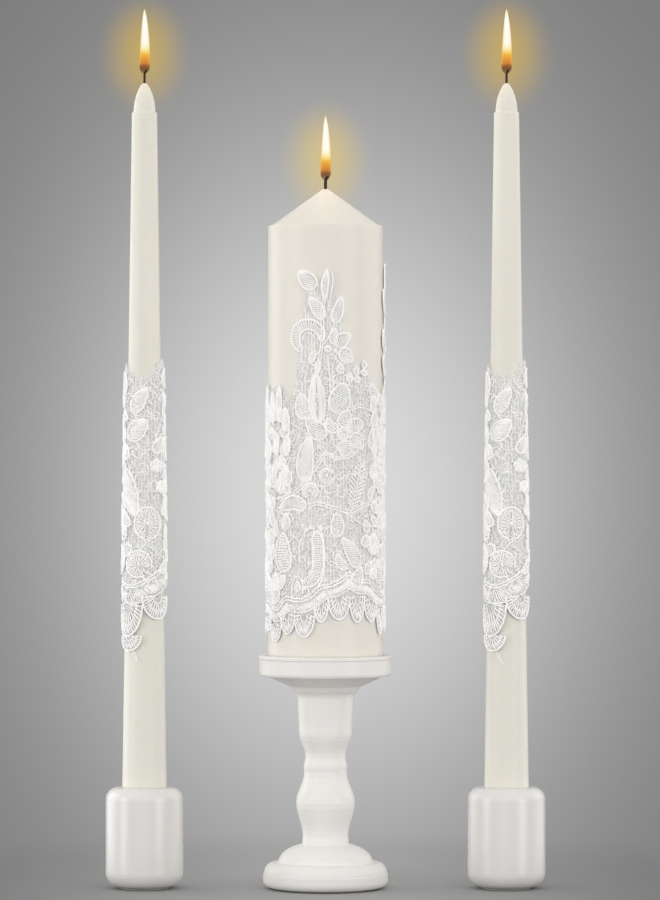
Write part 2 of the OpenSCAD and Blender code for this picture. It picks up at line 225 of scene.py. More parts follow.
def makeHexNet():
    # a net of six-sided holes; the UV runs in millimetres
    tree, gin, gout = newGroup(
        "hexNet", {"Cell": 1.2, "Thread": 0.16},
        {"Cover": "NodeSocketFloat", "Height": "NodeSocketFloat"})
    uv = coords(tree, "UV")
    inv = calc(tree, "DIVIDE", 1.0, gin.outputs["Cell"])
    joined = newNode(tree, "ShaderNodeCombineXYZ")
    for axis in "XYZ":
        tree.links.new(inv, joined.inputs[axis])
    place = vecCalc(tree, "MULTIPLY", uv, joined.outputs[0])
    step, half = (1.0, sqrt(3), 1.0), (0.5, sqrt(3) / 2, 0.0)

    def nearest(shift):
        moved = vecCalc(tree, "ADD", place, shift)
        wrapped = vecCalc(tree, "MODULO", vecCalc(tree, "ADD", moved, (2000.0, 2000 * sqrt(3), 0.0)), step)
        return vecCalc(tree, "MULTIPLY", vecCalc(tree, "SUBTRACT", wrapped, half), (1.0, 1.0, 0.0))

    a, b = nearest((0.0, 0.0, 0.0)), nearest(half)
    aLong, bLong = vecCalc(tree, "LENGTH", a, out="Value"), vecCalc(tree, "LENGTH", b, out="Value")
    pick = newNode(tree, "ShaderNodeMix", data_type="VECTOR")
    tree.links.new(calc(tree, "GREATER_THAN", aLong, bLong), pick.inputs["Factor"])
    tree.links.new(a, pick.inputs[4])
    tree.links.new(b, pick.inputs[5])
    near = vecCalc(tree, "ABSOLUTE", pick.outputs[1])
    slanted = vecCalc(tree, "DOT_PRODUCT", near, (0.5, sqrt(3) / 2, 0.0), out="Value")
    flatWay = vecCalc(tree, "DOT_PRODUCT", near, (1.0, 0.0, 0.0), out="Value")
    edge = calc(tree, "SUBTRACT", 0.5, calc(tree, "MAXIMUM", slanted, flatWay))
    reach = calc(tree, "DIVIDE", edge, gin.outputs["Thread"])
    cover = calc(tree, "SUBTRACT", 1.25, reach, clamp=True)
    tree.links.new(calc(tree, "SMOOTH_MIN", calc(tree, "MULTIPLY", cover, 1.6), 1.0, 0.1, clamp=True),
                   gout.inputs["Cover"])
    tree.links.new(cover, gout.inputs["Height"])
    return tree


mottle = makeMottle()
yarnTwist = makeYarn()
hexNet = makeHexNet()


def startMaterial(name, **sockets):
    # sockets are set on the shader itself
    mat = bpy.data.materials.new(name)
    mat.use_nodes = True
    tree = mat.node_tree
    shader = tree.nodes["Principled BSDF"]
    for label, value in sockets.items():
        shader.inputs[label].default_value = value
    return mat, tree, shader


def useGroup(tree, group, **values):
    node = newNode(tree, "ShaderNodeGroup", node_tree=group)
    for label, value in values.items():
        node.inputs[label].default_value = (*value, 1) if isinstance(value, tuple) else value
    return node


def addBump(tree, shader, height, strength, distance):
    bump = newNode(tree, "ShaderNodeBump")
    bump.inputs["Strength"].default_value = strength
    bump.inputs["Distance"].default_value = distance
    tree.links.new(height, bump.inputs["Height"])
    tree.links.new(bump.outputs["Normal"], shader.inputs["Normal"])


def layMottle(tree, shader, base, tint, amount, scale, rough, spread):
    # mottles the colour and the roughness; the tint is a colour, or a share of the base
    if not isinstance(tint, tuple):
        tint = tuple(tint * c for c in base)
    soft = useGroup(tree, mottle, Base=base, Tint=tint, Amount=amount, Scale=scale, Rough=rough,
                    RoughSpread=spread)
    tree.links.new(soft.outputs["Color"], shader.inputs["Base Color"])
    tree.links.new(soft.outputs["Roughness"], shader.inputs["Roughness"])
    return soft


def makeMottled(name, base, tint, look, bump, sockets):
    # look: amount, scale, roughness and its spread; bump: strength and depth
    mat, tree, shader = startMaterial(name, **sockets)
    soft = layMottle(tree, shader, base, tint, *look)
    addBump(tree, shader, soft.outputs["Height"], *bump)
    return mat


def makeWax(name, base, tint):
    return makeMottled(name, base, tint, (0.35, 38.0, 0.44, 0.14), (0.25, 0.0004), {
        "Subsurface Weight": 0.35, "Subsurface Scale": 0.004, "Subsurface Radius": (1.0, 0.8, 0.45),
        "Specular IOR Level": 0.5, "IOR": 1.44, "Coat Roughness": 0.42, "Coat Weight": 0.1})


def makePaintedShadeBacking(name, base):
    # painted shade: darker than the thread and mottled dark, so that the gaps between stitches read as
    # shadow
    return makeMottled(name, base, 0.6, (1.0, 1100.0, 0.7, 0.2), (0.5, 0.0002), {
        "Sheen Weight": 0.1, "Specular IOR Level": 0.3})


def makeGlaze(name, base):
    return makeMottled(name, base, 0.96, (0.5, 55.0, 0.36, 0.08), (0.12, 0.0005), {
        "Specular IOR Level": 0.5, "IOR": 1.52, "Coat Weight": 0.5, "Coat Roughness": 0.28,
        "Subsurface Weight": 0.08, "Subsurface Scale": 0.002})


def makeFelt(name, base):
    return makeMottled(name, base, 0.8, (0.7, 300.0, 0.85, 0.2), (0.8, 0.0004), {
        "Sheen Weight": 0.4, "Specular IOR Level": 0.2})


def makeMetal(name, base):
    return makeMottled(name, base, 0.7, (0.5, 400.0, 0.32, 0.3), (0.2, 0.0001), {"Metallic": 1.0})


def makeThread(name, base, pitch, bump):
    # the emission is painted light: the threads glow a little, standing in for light that passes through the
    # loose fibres
    mat, tree, shader = startMaterial(name, **{
        "Sheen Weight": 0.5, "Sheen Roughness": 0.5, "Specular IOR Level": 0.4,
        "Specular Tint": (1.0, 0.98, 0.95, 1.0), "Emission Color": (1.0, 0.975, 0.94, 1.0),
        "Emission Strength": 0.125})
    twist = useGroup(tree, yarnTwist, Pitch=pitch, Plies=2.0)
    soft = layMottle(tree, shader, base, 0.84, 0.6, 900.0, 0.5, 0.2)
    shaded = mixColours(tree, 0.15, soft.outputs["Color"], twist.outputs["Shade"], "MULTIPLY")
    tree.links.new(shaded, shader.inputs["Base Color"])
    addBump(tree, shader, twist.outputs["Height"], bump, 0.0002)
    return mat


def makeNet(name, base, cell, thread):
    mat, tree, shader = startMaterial(name, **{"Specular IOR Level": 0.3})
    net = useGroup(tree, hexNet, Cell=cell, Thread=thread)
    # painted shade: the dark mottle stands in for the threads' shadows on the wax below
    layMottle(tree, shader, base, 0.66, 1.0, 800.0, 0.6, 0.15)
    tree.links.new(net.outputs["Cover"], shader.inputs["Alpha"])
    addBump(tree, shader, net.outputs["Height"], 0.5, 0.00012)
    return mat


def makePaint(name, base):
    # satin paint over turned wood: brush lines run round, with a little grain showing through
    mat, tree, shader = startMaterial(name, **{"Specular IOR Level": 0.45, "Coat Roughness": 0.3})
    soft = layMottle(tree, shader, base, 0.955, 0.6, 45.0, 0.42, 0.14)
    lines = noise(tree, 900.0, 3, stretch=(0.035, 0.035, 1))
    height = calc(tree, "ADD", calc(tree, "MULTIPLY", lines, 0.6),
                  calc(tree, "MULTIPLY", soft.outputs["Height"], 0.6))
    addBump(tree, shader, height, 0.22, 0.0003)
    return mat


def makeWick(name):
    # braided cotton, charred dark; darker down the braid's grooves and lighter on its raised strands
    mat, tree, shader = startMaterial(name, **{"Specular IOR Level": 0.2})
    braid = newNode(tree, "ShaderNodeTexWave", wave_type="BANDS", bands_direction="DIAGONAL")
    braid.inputs["Scale"].default_value = 900.0
    braid.inputs["Distortion"].default_value = 2.0
    tree.links.new(tree.nodes.new("ShaderNodeTexCoord").outputs["Object"], braid.inputs["Vector"])
    tree.links.new(ramp(tree, braid.outputs["Fac"], [(0.0, srgb(36, 24, 14)), (1.0, srgb(92, 68, 46))]),
                   shader.inputs["Base Color"])
    tree.links.new(calc(tree, "MULTIPLY_ADD", braid.outputs["Fac"], 0.2, 0.7), shader.inputs["Roughness"])
    addBump(tree, shader, braid.outputs["Fac"], 0.6, 0.0003)
    return mat


def makeFlame(name):
    # the colour and the clearness of a flame change up its height
    mat, tree, shader = startMaterial(
        name, **{"Base Color": (0, 0, 0, 1), "Emission Strength": 1.0, "Specular IOR Level": 0.0,
                 "Roughness": 1.0})
    height = axes(tree, coords(tree, "UV"))[1]
    colours = ramp(tree, height, [
        (0.0, srgb(60, 36, 16)), (0.07, srgb(96, 56, 32)), (0.115, srgb(140, 82, 46)),
        (0.165, srgb(205, 132, 66)), (0.22, srgb(226, 148, 66)), (0.29, srgb(236, 182, 68)),
        (0.345, srgb(247, 222, 130)), (0.40, srgb(252, 244, 200)), (0.48, srgb(255, 253, 240)),
        (0.86, srgb(255, 255, 248)), (0.94, srgb(255, 246, 205)), (1.0, srgb(250, 222, 150))])
    # a golden rim, except round the dark foot
    edge = newNode(tree, "ShaderNodeLayerWeight")
    edge.inputs["Blend"].default_value = 0.5
    reach = ramp(tree, height, [(0.0, 0.0), (0.09, 0.0), (0.17, 1.0), (0.7, 0.85), (1.0, 0.3)])
    rim = calc(tree, "MULTIPLY", calc(tree, "POWER", edge.outputs["Facing"], 1.3), reach)
    golden = mixColours(tree, rim, colours, (*srgb(241, 186, 84), 1))
    tree.links.new(golden, shader.inputs["Emission Color"])
    clear = ramp(tree, height, [(0.0, 0.25), (0.05, 0.5), (0.14, 0.9), (0.3, 1.0), (0.95, 1.0), (1.0, 0.7)])
    tree.links.new(clear, shader.inputs["Alpha"])
    return mat


finishes = {
    "pillarWax": makeWax("ivoryPillarWax", (0.82, 0.785, 0.715), (0.78, 0.74, 0.66)),
    "taperWax": makeWax("ivoryTaperWax", (0.785, 0.762, 0.685), (0.745, 0.715, 0.63)),
    "satinThread": makeThread("satinStitchThread", (0.97, 0.955, 0.94), 0.9, 0.35),
    "cordThread": makeThread("outlineCord", (0.99, 0.98, 0.965), 1.1, 0.6),
    "paintedShadeBacking": makePaintedShadeBacking("laceBackingPaintedShade", (0.88, 0.865, 0.84)),
    "net": makeNet("laceNet", (0.95, 0.948, 0.942), 1.0, 0.24),
    "paint": makePaint("satinWhitePaint", (0.853, 0.827, 0.797)),
    "glaze": makeGlaze("whiteGlaze", (0.757, 0.735, 0.707)),
    "felt": makeFelt("woolFelt", (0.6, 0.57, 0.5)),
    "brass": makeMetal("screwBrass", (0.75, 0.55, 0.26)),
    "tin": makeMetal("tabTin", (0.7, 0.7, 0.71)),
    "wick": makeWick("charredWick"),
    "flame": makeFlame("flameGlow"),
}
print("materials made:", len(finishes))


class MeshHeap:
    # points (metres), faces and one UV per face corner, gathered for one piece
    def __init__(self):
        self.points, self.faces, self.uvs, self.paintedShadeBacking = [], [], [], set()

    def pad(self, rows, uvRows):
        # backing cloth under the stitches, which takes the piece's second material; its darker colour is
        # painted shade for the gaps between the stitches
        first = len(self.faces)
        self.grid(rows, uvRows)
        self.paintedShadeBacking.update(range(first, len(self.faces)))

    def grid(self, rows, uvRows, closed=False):
        # rows of equal length, joined into quads
        start, wide = len(self.points), len(rows[0])
        for row in rows:
            self.points.extend(row)
        for r in range(len(rows) - 1):
            for c in range(wide if closed else wide - 1):
                d = (c + 1) % wide
                a, b = start + r * wide, start + (r + 1) * wide
                self.faces.append((a + c, a + d, b + d, b + c))
                ends = [row[c + 1] if c + 1 < len(row) else (row[0][0], 1.0) for row in uvRows[r:r + 2]]
                self.uvs.extend((uvRows[r][c], *ends, uvRows[r + 1][c]))
        return start

    def cap(self, first, count, flip):
        ring = list(range(first, first + count))
        self.faces.append(tuple(reversed(ring)) if flip else tuple(ring))
        self.uvs.extend([(0.0, 0.0)] * count)

    def build(self, name, material):
        mesh = bpy.data.meshes.new(name)
        mesh.from_pydata(self.points, [], self.faces)
        layer = mesh.uv_layers.new(name="run")
        for spot, uv in zip(layer.data, self.uvs):
            spot.uv = uv
        mesh.materials.append(material)
        if self.paintedShadeBacking:
            mesh.materials.append(finishes["paintedShadeBacking"])
            slots = [int(k in self.paintedShadeBacking) for k in range(len(self.faces))]
            mesh.polygons.foreach_set("material_index", slots)
        mesh.polygons.foreach_set("use_smooth", [True] * len(mesh.polygons))
        mesh.validate()
        mesh.update()
        piece = bpy.data.objects.new(name, mesh)
        bpy.context.scene.collection.objects.link(piece)
        print(name, len(mesh.polygons), "faces")
        return piece


class Sleeve:
    # the skin of one candle; u runs round it from the front, z up, h outwards, all in mm
    def __init__(self, node, middle, loose=0.0):
        rings = {}
        low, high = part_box(node)
        self.x = (low[0] + high[0]) / 2 / mm
        self.y = (low[1] + high[1]) / 2 / mm
        for v in cadNodes[node].data.vertices:
            z = round(v.co.z / mm, 2)
            r = hypot(v.co.x / mm - self.x, v.co.y / mm - self.y)
            rings[z] = max(rings.get(z, 0.0), r)
        self.marks = [(z, r) for z, r in sorted(rings.items()) if r > 2.0]
        self.loose = loose     # the lace stands this far off the wax
        self.arcRadius = self.radius(middle)
        self.turn = 2 * pi * self.arcRadius

    def radius(self, z):
        for (z0, r0), (z1, r1) in zip(self.marks, self.marks[1:]):
            if z0 <= z <= z1:
                return r0 + (r1 - r0) * (z - z0) / (z1 - z0)
        return self.marks[0][1] if z < self.marks[0][0] else self.marks[-1][1]

    def at(self, u, z, h):
        a = u / self.arcRadius
        r = self.radius(z) + self.loose + h
        return Vector(((self.x + r * sin(a)) * mm, (self.y - r * cos(a)) * mm, z * mm))

    def outward(self, u):
        a = u / self.arcRadius
        return Vector((sin(a), -cos(a), 0))


def smoothPath(points, step):
    # a rounded run through the points, with a point about every step
    if len(points) == 2:
        points = [points[0], tuple((a + b) / 2 for a, b in zip(*points)), points[1]]
    run = []
    last = len(points) - 1
    for i in range(last):
        p0, p1, p2, p3 = points[max(i - 1, 0)], points[i], points[i + 1], points[min(i + 2, last)]
        count = max(1, ceil(hypot(p2[0] - p1[0], p2[1] - p1[1]) / step))
        for k in range(count):
            t = k / count
            run.append(tuple(0.5 * (2 * b + (c - a) * t + (2 * a - 5 * b + 4 * c - d) * t * t
                                    + (3 * b - a - 3 * c + d) * t ** 3)
                             for a, b, c, d in zip(p0, p1, p2, p3)))
    run.append(tuple(points[-1]))
    return run


def arcPath(centre, radius, start, end):
    # a point about every millimetre; the angles are in degrees
    count = max(3, ceil(abs(end - start) * pi / 180 * radius))
    turns = [radians(start + (end - start) * k / count) for k in range(count + 1)]
    return [(centre[0] + radius * cos(t), centre[1] + radius * sin(t)) for t in turns]


def offsetPath(path, across):
    # a copy of the path moved sideways, to its left for a positive number
    moved = []
    for i, (u, z) in enumerate(path):
        a, b = path[max(i - 1, 0)], path[min(i + 1, len(path) - 1)]
        long = hypot(b[0] - a[0], b[1] - a[1]) or 1.0
        moved.append((u - across * (b[1] - a[1]) / long, z + across * (b[0] - a[0]) / long))
    return moved


def layTube(heap, sleeve, path, wide, high, sides=6, closed=False):
    # path: (u, z, h) along the tube's middle; its cross-section is an oval, narrowed at both ends
    spots = [(sleeve.at(*p), sleeve.outward(p[0])) for p in path]
    rows, uvRows, run = [], [], 0.0
    last = len(spots) - 1
    for i, (spot, out) in enumerate(spots):
        before = spots[i - 1 if closed else max(i - 1, 0)][0]
        after = spots[(i + 1) % len(spots) if closed else min(i + 1, last)][0]
        along = (after - before).normalized()
        side = along.cross(out).normalized()
        up = side.cross(along)
        size = embroidery["tipShare"] if not closed and i in (0, last) else 1.0
        if i:
            run += (spot - spots[i - 1][0]).length / mm
        rows.append([spot + side * (cos(2 * pi * k / sides) * wide / 2 * size * mm)
                     - up * (sin(2 * pi * k / sides) * high / 2 * size * mm) for k in range(sides)])
        uvRows.append([(run, k / sides) for k in range(sides)])
    if closed:
        rows.append(rows[0])
        uvRows.append([(run + 1, k / sides) for k in range(sides)])
    start = heap.grid(rows, uvRows, closed=True)
    if not closed:
        heap.cap(start, sides, False)
        heap.cap(start + last * sides, sides, True)


embroidery = {
    "cord": 0.95,        # outline cord, across
    "fineCord": 0.65,
    "stitch": 0.74,      # one satin stitch, across
    "pitch": 1.1,        # from stitch to stitch
    "tipShare": 0.35,    # how much of a thread's width is left at its ends
    "fanStitch": 0.8,
    "leafletGap": 2.1,
    "fernStitch": 1.05,
    "bandStitch": 0.66,
    "leafAcross": 5.4,   # from one small leaf to the next
    "leafUp": 8.2,
    "padHeight": 0.5,
    "bow": 0.55,         # how much a stitch stands up in its middle
    "netHeight": 0.22,
}
groundSetup = {
    "ladder": 1.55,      # from one upright thread to the next
    "thread": 0.34,
    "seedGap": 1.75,
    "seedLong": 1.8,
    "seedThread": 0.52,
    "curlGap": 5.2,      # from one meandering thread to the next
    "curlThread": 0.55,
    "lowest": 118,
    "tall": 150,
    "seed": 11,
}
dice = Random(7)


def leafWidth(kind, t):
    # half-width share along a motif, from its root to its tip
    t = min(max(t, 0.0), 1.0)
    if kind == "egg":
        return max(sin(pi * t ** 0.75), 0.0) ** 0.62
    if kind == "drop":
        return max(sin(pi * t ** 1.5), 0.0) ** 0.7
    if kind == "horn":
        return max(sin(pi * (0.06 + 0.9 * t)), 0.0) ** 0.45
    if kind == "even":
        return min(1.0, 6 * t + 0.3, 6 * (1 - t) + 0.3)
    return max(sin(pi * t), 0.0) ** 0.8     # plain leaf


class Embroiderer:
    # lays motifs on one candle; satin goes to one heap and cord to another
    def __init__(self, sleeve, shift=0.0, mirror=False):
        self.sleeve, self.shift, self.mirror = sleeve, shift, mirror
        self.satinHeap, self.cordHeap = MeshHeap(), MeshHeap()
        self.open = False     # leaves worked without a cushion let the wax show through

    def place(self, u, z, h):
        return (self.shift - u if self.mirror else self.shift + u, z, h)

    def onSkin(self, u, z, h):
        return self.sleeve.at(*self.place(u, z, h))

    def stitch(self, points, fat=None):
        # points: (u, z, h); the thread jitters a little so that no two lie alike
        e = embroidery
        wide = (fat or e["stitch"]) * dice.uniform(0.85, 1.12)
        lift = dice.uniform(-0.05, 0.05)
        layTube(self.satinHeap, self.sleeve, [self.place(u, z, h + lift) for u, z, h in points],
                wide, wide * 0.85, sides=5)

    def cord(self, path, wide=None, height=None, closed=False):
        e = embroidery
        wide = wide or e["cord"]
        height = e["padHeight"] + 0.1 if height is None else height
        run = smoothPath(path, 0.9) if not closed else path
        layTube(self.cordHeap, self.sleeve, [self.place(u, z, height) for u, z in run], wide, wide * 0.95,
                closed=closed)

    def twinCord(self, path, gap=1.1, wide=None):
        run = smoothPath(path, 1.2)
        for side in (-gap / 2, gap / 2):
            self.cord(offsetPath(run, side), wide or embroidery["fineCord"] + 0.05)

    def satin(self, path, width, kind="egg", slant=0.55, vein=False, pitch=None, lift=0.0):
        # stitches lie across a curved shape whose middle line is path
        e = embroidery
        pitch = pitch or e["pitch"]
        spine = smoothPath(path, 0.5)
        runs = [0.0]
        for a, b in zip(spine, spine[1:]):
            runs.append(runs[-1] + hypot(b[0] - a[0], b[1] - a[1]))
        total = runs[-1]
        left = offsetPath(spine, 1.0)

        def spot(t, v):
            # t along the spine, v across it from -1 to 1
            want = min(max(t, 0.0), 1.0) * total
            i = min(range(len(runs)), key=lambda k: abs(runs[k] - want))
            j = min(i + 1, len(spine) - 1) if runs[i] <= want else max(i - 1, 0)
            f = 0.0 if i == j else (want - runs[i]) / (runs[j] - runs[i])
            u, z = (spine[i][k] + (spine[j][k] - spine[i][k]) * f for k in (0, 1))
            nu, nz = left[i][0] - spine[i][0], left[i][1] - spine[i][1]
            half = width / 2 * leafWidth(kind, t)
            return u + nu * half * v, z + nz * half * v

        count = max(3, round(total / pitch))
        lean = slant * width / 2 / max(total, 0.1)
        base = e["padHeight"] + lift
        for k in range(count):
            t = (k + 0.5) / count
            if leafWidth(kind, t) * width < 0.9:
                continue
            if vein:
                for side in (-1, 1):
                    marks = [(0.06, 0.1), (0.35, 0.75), (0.7, 0.85), (0.95, 0.15)]
                    self.stitch([(*spot(t + lean * (2 * v - 0.6), side * v), base + e["bow"] * rise)
                                 for v, rise in marks])
            else:
                marks = (-0.94, -0.55, 0.0, 0.55, 0.94)
                self.stitch([(*spot(t + lean * v, v), base + e["bow"] * (1 - 0.9 * v * v)) for v in marks])
        if not self.open:
            self.pad(spot, base - 0.12)
        steps = max(8, ceil(total / 0.9))
        ring = [spot(k / steps, 1) for k in range(steps + 1)]
        ring += [spot(1 - k / steps, -1) for k in range(1, steps)]
        self.cord(thinOut(ring, 0.45), closed=True, height=e["padHeight"] + 0.12 + lift)

    def pad(self, spot, top):
        # the low cushion under satin stitches
        rows, uvRows = [], []
        for r in range(9):
            t = 0.02 + 0.96 * r / 8
            marks = [(-1 + 2 * c / 6) for c in range(7)]
            row = [(*spot(t, v), 0.12 + 0.45 * (top - 0.2) * (1 - v ** 4)) for v in marks]
            rows.append([self.onSkin(*p) for p in row])
            uvRows.append([(t * 5, v) for v in marks])
        self.satinHeap.pad(rows, uvRows)

    def fan(self, centre, inner, outer, start=0.0, end=360.0, tall=1.0, rings=True, pitch=None,
            button=True):
        # stitches spread from a middle, as on a shell or a round petal
        e = embroidery
        around = abs(end - start)
        count = max(5, round(around / 360 * 2 * pi * outer / ((pitch or e["pitch"]) * 1.05)))
        base = e["padHeight"]

        def spot(r, a):
            return centre[0] + r * cos(radians(a)), centre[1] + r * tall * sin(radians(a))

        for k in range(count):
            a = start + around * (k + 0.5) / count
            short = inner + (0.45 * (outer - inner) if k % 2 else 0.0)
            marks = [(0.0, 0.1), (0.4, 1.0), (0.75, 0.9), (1.0, 0.1)]
            self.stitch([(*spot(short + (outer * 0.95 - short) * v, a), base + e["bow"] * rise)
                         for v, rise in marks], e["fanStitch"])
        full = around > 350
        rows, uvRows = [], []
        for r in range(5):
            reach = inner * 0.5 + (outer - inner * 0.5) * r / 4
            angles = [start + around * k / 18 for k in range(19)]
            rows.append([self.onSkin(*spot(reach, a), 0.12 + 0.1 * (1 - (r / 4) ** 4)) for a in angles])
            uvRows.append([(reach, a / 20) for a in angles])
        self.satinHeap.pad(rows, uvRows)
        if rings:
            steps = max(12, ceil(around / 360 * 2 * pi * outer / 0.9))
            ring = [spot(outer, start + around * k / steps) for k in range(steps + (not full))]
            self.cord(ring, closed=full)
            if inner > 1.2:
                ring = [spot(inner, start + around * k / steps) for k in range(steps + (not full))]
                self.cord(thinOut(ring, 0.5), e["fineCord"], closed=full)
        if button and inner <= 2.4:
            self.button(centre, max(inner * 0.75, 0.7))

    def button(self, centre, r):
        # a small padded dot
        rows, uvRows = [], []
        for ring, rise in ((1.0, 0.15), (0.85, 0.6), (0.5, 0.95), (0.05, 1.05)):
            rows.append([self.onSkin(centre[0] + r * ring * cos(2 * pi * k / 8),
                                     centre[1] + r * ring * sin(2 * pi * k / 8), 0.3 + rise * 0.8)
                         for k in range(8)])
            uvRows.append([(ring, k / 8) for k in range(8)])
        self.satinHeap.grid(rows, uvRows, closed=True)

    def fern(self, path, reach):
        # a stem with leaflets on both sides, shorter towards its tip
        spine = smoothPath(path, embroidery["leafletGap"])
        self.cord(spine, embroidery["fineCord"])
        total = len(spine) - 1
        for i in range(1, total + 1):
            a, b = spine[i - 1], spine[min(i + 1, total)]
            long = hypot(b[0] - a[0], b[1] - a[1])
            ahead = ((b[0] - a[0]) / long, (b[1] - a[1]) / long)
            size = reach * (1 - 0.55 * abs(2 * i / total - 0.9))
            for side in (-1, 1):
                way = (ahead[0] * 0.62 - side * ahead[1] * 0.8, ahead[1] * 0.62 + side * ahead[0] * 0.8)
                self.stitch([(spine[i][0] + way[0] * size * v, spine[i][1] + way[1] * size * v,
                              embroidery["padHeight"] + rise)
                             for v, rise in ((0.08, 0.05), (0.4, 0.4), (0.75, 0.38), (1.0, 0.1))],
                            embroidery["fernStitch"])

    def flower(self, centre, reach, petals, start=90.0, width=None):
        for k in range(petals):
            a = radians(start + 360 * k / petals)
            inside = (centre[0] + 0.22 * reach * cos(a), centre[1] + 0.22 * reach * sin(a))
            outside = (centre[0] + reach * cos(a), centre[1] + reach * sin(a))
            self.satin([inside, outside], width or reach * 0.95, "drop", slant=0.2)
        self.button(centre, reach * 0.22)

    def knots(self, path, width, kind="leaf"):
        # a leaf filled with small raised knots
        self.satin(path, width, kind, slant=0.0, pitch=1.3)
        spine = smoothPath(path, 1.5)
        for i, (u, z) in enumerate(spine[1:-1]):
            half = width / 2 * leafWidth(kind, (i + 1) / (len(spine) - 1)) - 0.8
            across = 0.0 if i % 2 else 0.9
            while across < half:
                for side in ((-1, 1) if across else (1,)):
                    self.button((u + side * across, z + dice.uniform(-0.15, 0.15)), 0.55)
                across += 1.8

    def scallop(self, left, right, top, bottom):
        # one hanging tab: stitches spread down to a corded rim, with a fine inner line
        middle, half = (left + right) / 2, (right - left) / 2 + 0.5
        deep = (top - bottom) / half
        self.fan((middle, top), 1.2, half - 0.4, 182, 358, tall=deep, button=False, pitch=0.98)
        for reach in (half * 0.62, half * 0.34):
            steps = max(8, ceil(pi * reach))
            turns = [pi + pi * k / steps for k in range(steps + 1)]
            self.cord([(middle + reach * cos(t), top + reach * deep * sin(t)) for t in turns],
                      embroidery["fineCord"] * 0.85, 0.75)

    def band(self, path, width):
        # a worked band that hangs from a line, edged with a fine cord below
        run = smoothPath(path, 0.95)
        low = offsetPath(run, -width)
        for i in range(len(run) - 2):
            (u0, z0), (u1, z1) = run[i], low[min(i + 2, len(low) - 1)]
            self.stitch([(u0 + (u1 - u0) * v, z0 + (z1 - z0) * v, embroidery["padHeight"] + rise)
                         for v, rise in ((0.1, 0.0), (0.35, 0.35), (0.65, 0.35), (0.92, 0.0))],
                        embroidery["bandStitch"])
        self.cord(low, embroidery["fineCord"])
        rows = [[self.onSkin(u, z, 0.14) for u, z in line] for line in (run, low)]
        self.satinHeap.pad(rows, [[(k, r) for k in range(len(run))] for r in (0, 1)])


def workGround(name, sleeve, top, bottom, shift, g):
    # fine upright threads and scattered seed stitches over the net
    heap, seeds = MeshHeap(), MeshHeap()
    own = Random(g["seed"])
    columns = int(sleeve.turn / g["ladder"])
    for c in range(columns):
        u = sleeve.turn * (c + own.uniform(-0.12, 0.12)) / columns
        highest, lowest = heightAt(top, u % sleeve.turn) - 1.0, heightAt(bottom, u % sleeve.turn) + 1.0
        z = lowest + own.uniform(0, 4)
        while z < highest - 3:
            end = min(z + own.uniform(6, 22), highest)
            steps = max(2, int((end - z) / 1.6))
            run = [(shift + u + 0.22 * sin(k * 2.4 + c) + own.uniform(-0.07, 0.07),
                    z + (end - z) * k / steps, embroidery["netHeight"] + 0.12) for k in range(steps + 1)]
            layTube(heap, sleeve, run, g["thread"], g["thread"] * 0.8, sides=4)
            z = end + own.uniform(0.6, 5)
    for c in range(int(sleeve.turn / g["seedGap"])):
        for r in range(int(g["tall"] / g["seedGap"])):
            u = g["seedGap"] * (c + own.uniform(0.1, 0.9))
            z = g["lowest"] + g["seedGap"] * (r + own.uniform(0.1, 0.9))
            if not heightAt(bottom, u % sleeve.turn) + 1 < z < heightAt(top, u % sleeve.turn) - 1:
                continue
            a, long = own.uniform(0, pi), own.uniform(0.5, 1.0) * g["seedLong"] / 2
            bend = own.uniform(-0.35, 0.35)
            run = [(shift + u + long * (v * cos(a) - bend * (1 - v * v) * sin(a)),
                    z + long * (v * sin(a) + bend * (1 - v * v) * cos(a)),
                    embroidery["netHeight"] + 0.1 + 0.28 * (1 - v * v)) for v in (-1, -0.4, 0.4, 1)]
            layTube(seeds, sleeve, run, g["seedThread"], g["seedThread"] * 0.8, sides=4)
    layCurls(heap, sleeve, top, bottom, shift, g, own)
    return [heap.build(name + "_threads", finishes["satinThread"]),
            seeds.build(name + "_seeds", finishes["satinThread"])]


def layCurls(heap, sleeve, top, bottom, shift, g, own):
    # meandering threads that fill the ground between the motifs
    for c in range(int(sleeve.turn / g["curlGap"])):
        for r in range(int(g["tall"] / g["curlGap"])):
            u = g["curlGap"] * (c + own.uniform(0.1, 0.9))
            z = g["lowest"] + g["curlGap"] * (r + own.uniform(0.1, 0.9))
            way, bend = own.uniform(0, 2 * pi), own.choice((-1, 1))
            marks = []
            for k in range(own.randrange(6, 12)):
                marks.append((u, z))
                u += 1.1 * cos(way)
                z += 1.1 * sin(way)
                way += bend * own.uniform(0.1, 0.9)
                bend = -bend if own.random() < 0.25 else bend
            inside = all(heightAt(bottom, a % sleeve.turn) + 1.5 < b < heightAt(top, a % sleeve.turn) - 1.5
                         for a, b in marks)
            if inside:
                run = [(shift + a, b, embroidery["netHeight"] + 0.32) for a, b in smoothPath(marks, 0.8)]
                layTube(heap, sleeve, run, g["curlThread"], g["curlThread"] * 0.8, sides=5)


def thinOut(ring, least):
    kept = [ring[0]]
    for p in ring[1:]:
        if hypot(p[0] - kept[-1][0], p[1] - kept[-1][1]) >= least:
            kept.append(p)
    return kept


